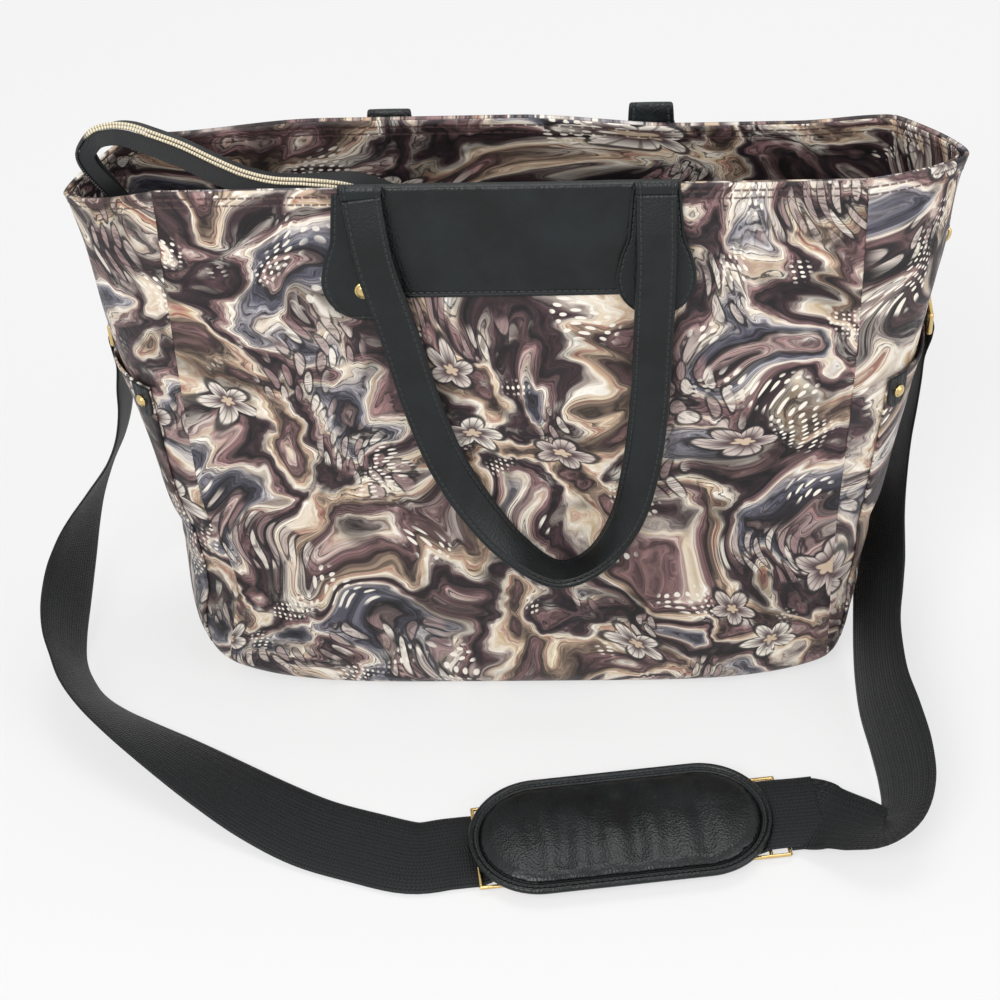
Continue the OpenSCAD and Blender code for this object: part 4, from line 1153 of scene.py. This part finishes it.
def makePad():
    around, ends, rows, lip = pad["around"], pad["lipAround"], pad["rows"], pad["lip"]
    top = pad["z"] + pad["base"]
    bm = gridMesh(around, len(rows) - 1, lambda i, j: padRing(i / around, pad["flange"] - rows[j][0],
                                                              top + rows[j][1] * pad["rise"]),
                  lambda i, j: (i, j), True, True)
    cover = addPiece("padCover", bm, padLeather)
    swell(cover)
    shapeCover(cover, top)
    smooth = cover.modifiers.new("refine", "SUBSURF")
    smooth.levels = smooth.render_levels = 1
    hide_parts("pad_cover")

    def pipePlace(i, j):
        a = 2 * math.pi * (i % 10) / 10
        return padRing(j / ends, pad["pipeLine"] + math.cos(a) * pad["pipe"],
                       pad["z"] + pad["pipe"] + math.sin(a) * pad["pipe"])

    bm = gridMesh(10, ends, pipePlace, lambda i, j: (i * 1.2, j * 2.6), True)
    bmesh.ops.recalc_face_normals(bm, faces=bm.faces)
    addPiece("padPiping", bm, padLeather, "pad_piping")
    bm = gridMesh(ends, len(lip) - 1, lambda i, j: padRing(i / ends, *lip[j]),
                  lambda i, j: (38.2 - lip[j][0], i * 2.45), True)
    addPiece("padFlange", bm, sewnLeather)
    bm = gridMesh(around, 2, lambda i, j: padRing(i / around, pad["cover"], pad["z"] + j * 0.75),
                  lambda i, j: (i * 4, j), True, True)
    addPiece("padBase", bm, webbing, "pad_base")


makePad()
print("strap and pad done")

# zip
zipSet = {"tail": [(-209, -4, 24, 0, 10, 5, 10), (-215, -5, 12, -5, 0, 5, 0), (-223, -5, -2, -10, -20, 8, -20),
                   (-225, -4, -11, -20, -30, 18, -30), (-221, -2, -18, -40, -34, 35, -33),
                   (-215, 1, -22, -60, -36, 55, -32), (-206, 4, -22.5, -80, -40, 75, -28),
                   (-196, 5, -20.5, -88, -48, 86, -22), (-185, 3, -17, -90, -52, 90, -18),
                   (-170, 0, -12, -90, -53, 90, -18), (-154, -5, -6, -90, -53, 90, -18),
                   (-138, -10, -1, -90, -56, 90, -18), (-122, -14, 1, -90, -62, 90, -17),
                   (-105, -16, 1, -90, -70, 90, -14), (-85, -12.5, 6.7, -95, -80, 85, 0)],
          "front": [(-70, -6.5, 19, -110, -70), (-52, -4, 31, -120, -45), (-30, -6, 42, -110, 0),
                    (-6, -13, 52, -95, 35), (14, -21.5, 60, -90, 65)],
          "back": [(-70, -5.5, 19, 80, 30), (-52, -0.5, 33, 85, 45), (-30, 6, 44, 80, 50), (-6, 14, 54, 75, 55),
                   (20, 22, 61, 78, 60)],
          "frontEnd": ((38, 2.2), (64, 0.5), (110, 0), (164, 0)),
          "backEnd": ((44, 10), (66, 3.2), (90, 0.6), (126, 0), (164, 0)),
          "low": 266, "off": 3.4, "lean": 78, "tape": 9, "coil": 1.8}


def makeZip():
    z, coil, reach = zipSet["low"], zipSet["coil"], zipSet["coil"] + zipSet["tape"]
    for tag, key, way, off, turn in (("Front", "front", -1, frontOff, 3), ("Back", "back", 1, backOff, 5)):
        route = [p[:3] + p[turn:turn + 2] for p in zipSet["tail"]] + zipSet[key]
        route = [(x, y, bag["height"] - down, az, el) for x, y, down, az, el in route]
        route += [(x, off(x, z, -zipSet["off"] - inset).y, z, -way * 90, zipSet["lean"])
                  for x, inset in zipSet[key + "End"]]
        line = smoothRoute(route, 14)
        flat = [(coil + 0.3, way * 0.1), (reach, way * 0.1), (reach, way * 0.7), (coil + 0.3, way * 0.7)]
        bead = [(0.2, way * 0.1), (coil, way * 0.1), (coil, way * 1.0), (1.4, way * 1.7), (0.6, way * 1.7),
                (0.2, way * 1.0)]
        if way < 0:
            flat, bead = flat[::-1], bead[::-1]
        addPiece("zipTape" + tag, sweepMesh(line, flat), tapeCloth, "zip_tape_" + key, smooth=False)
        addPiece("zipTeeth" + tag, sweepMesh(line, bead), creamCoil, "zip_teeth_" + key)


makeZip()
print("zip done")
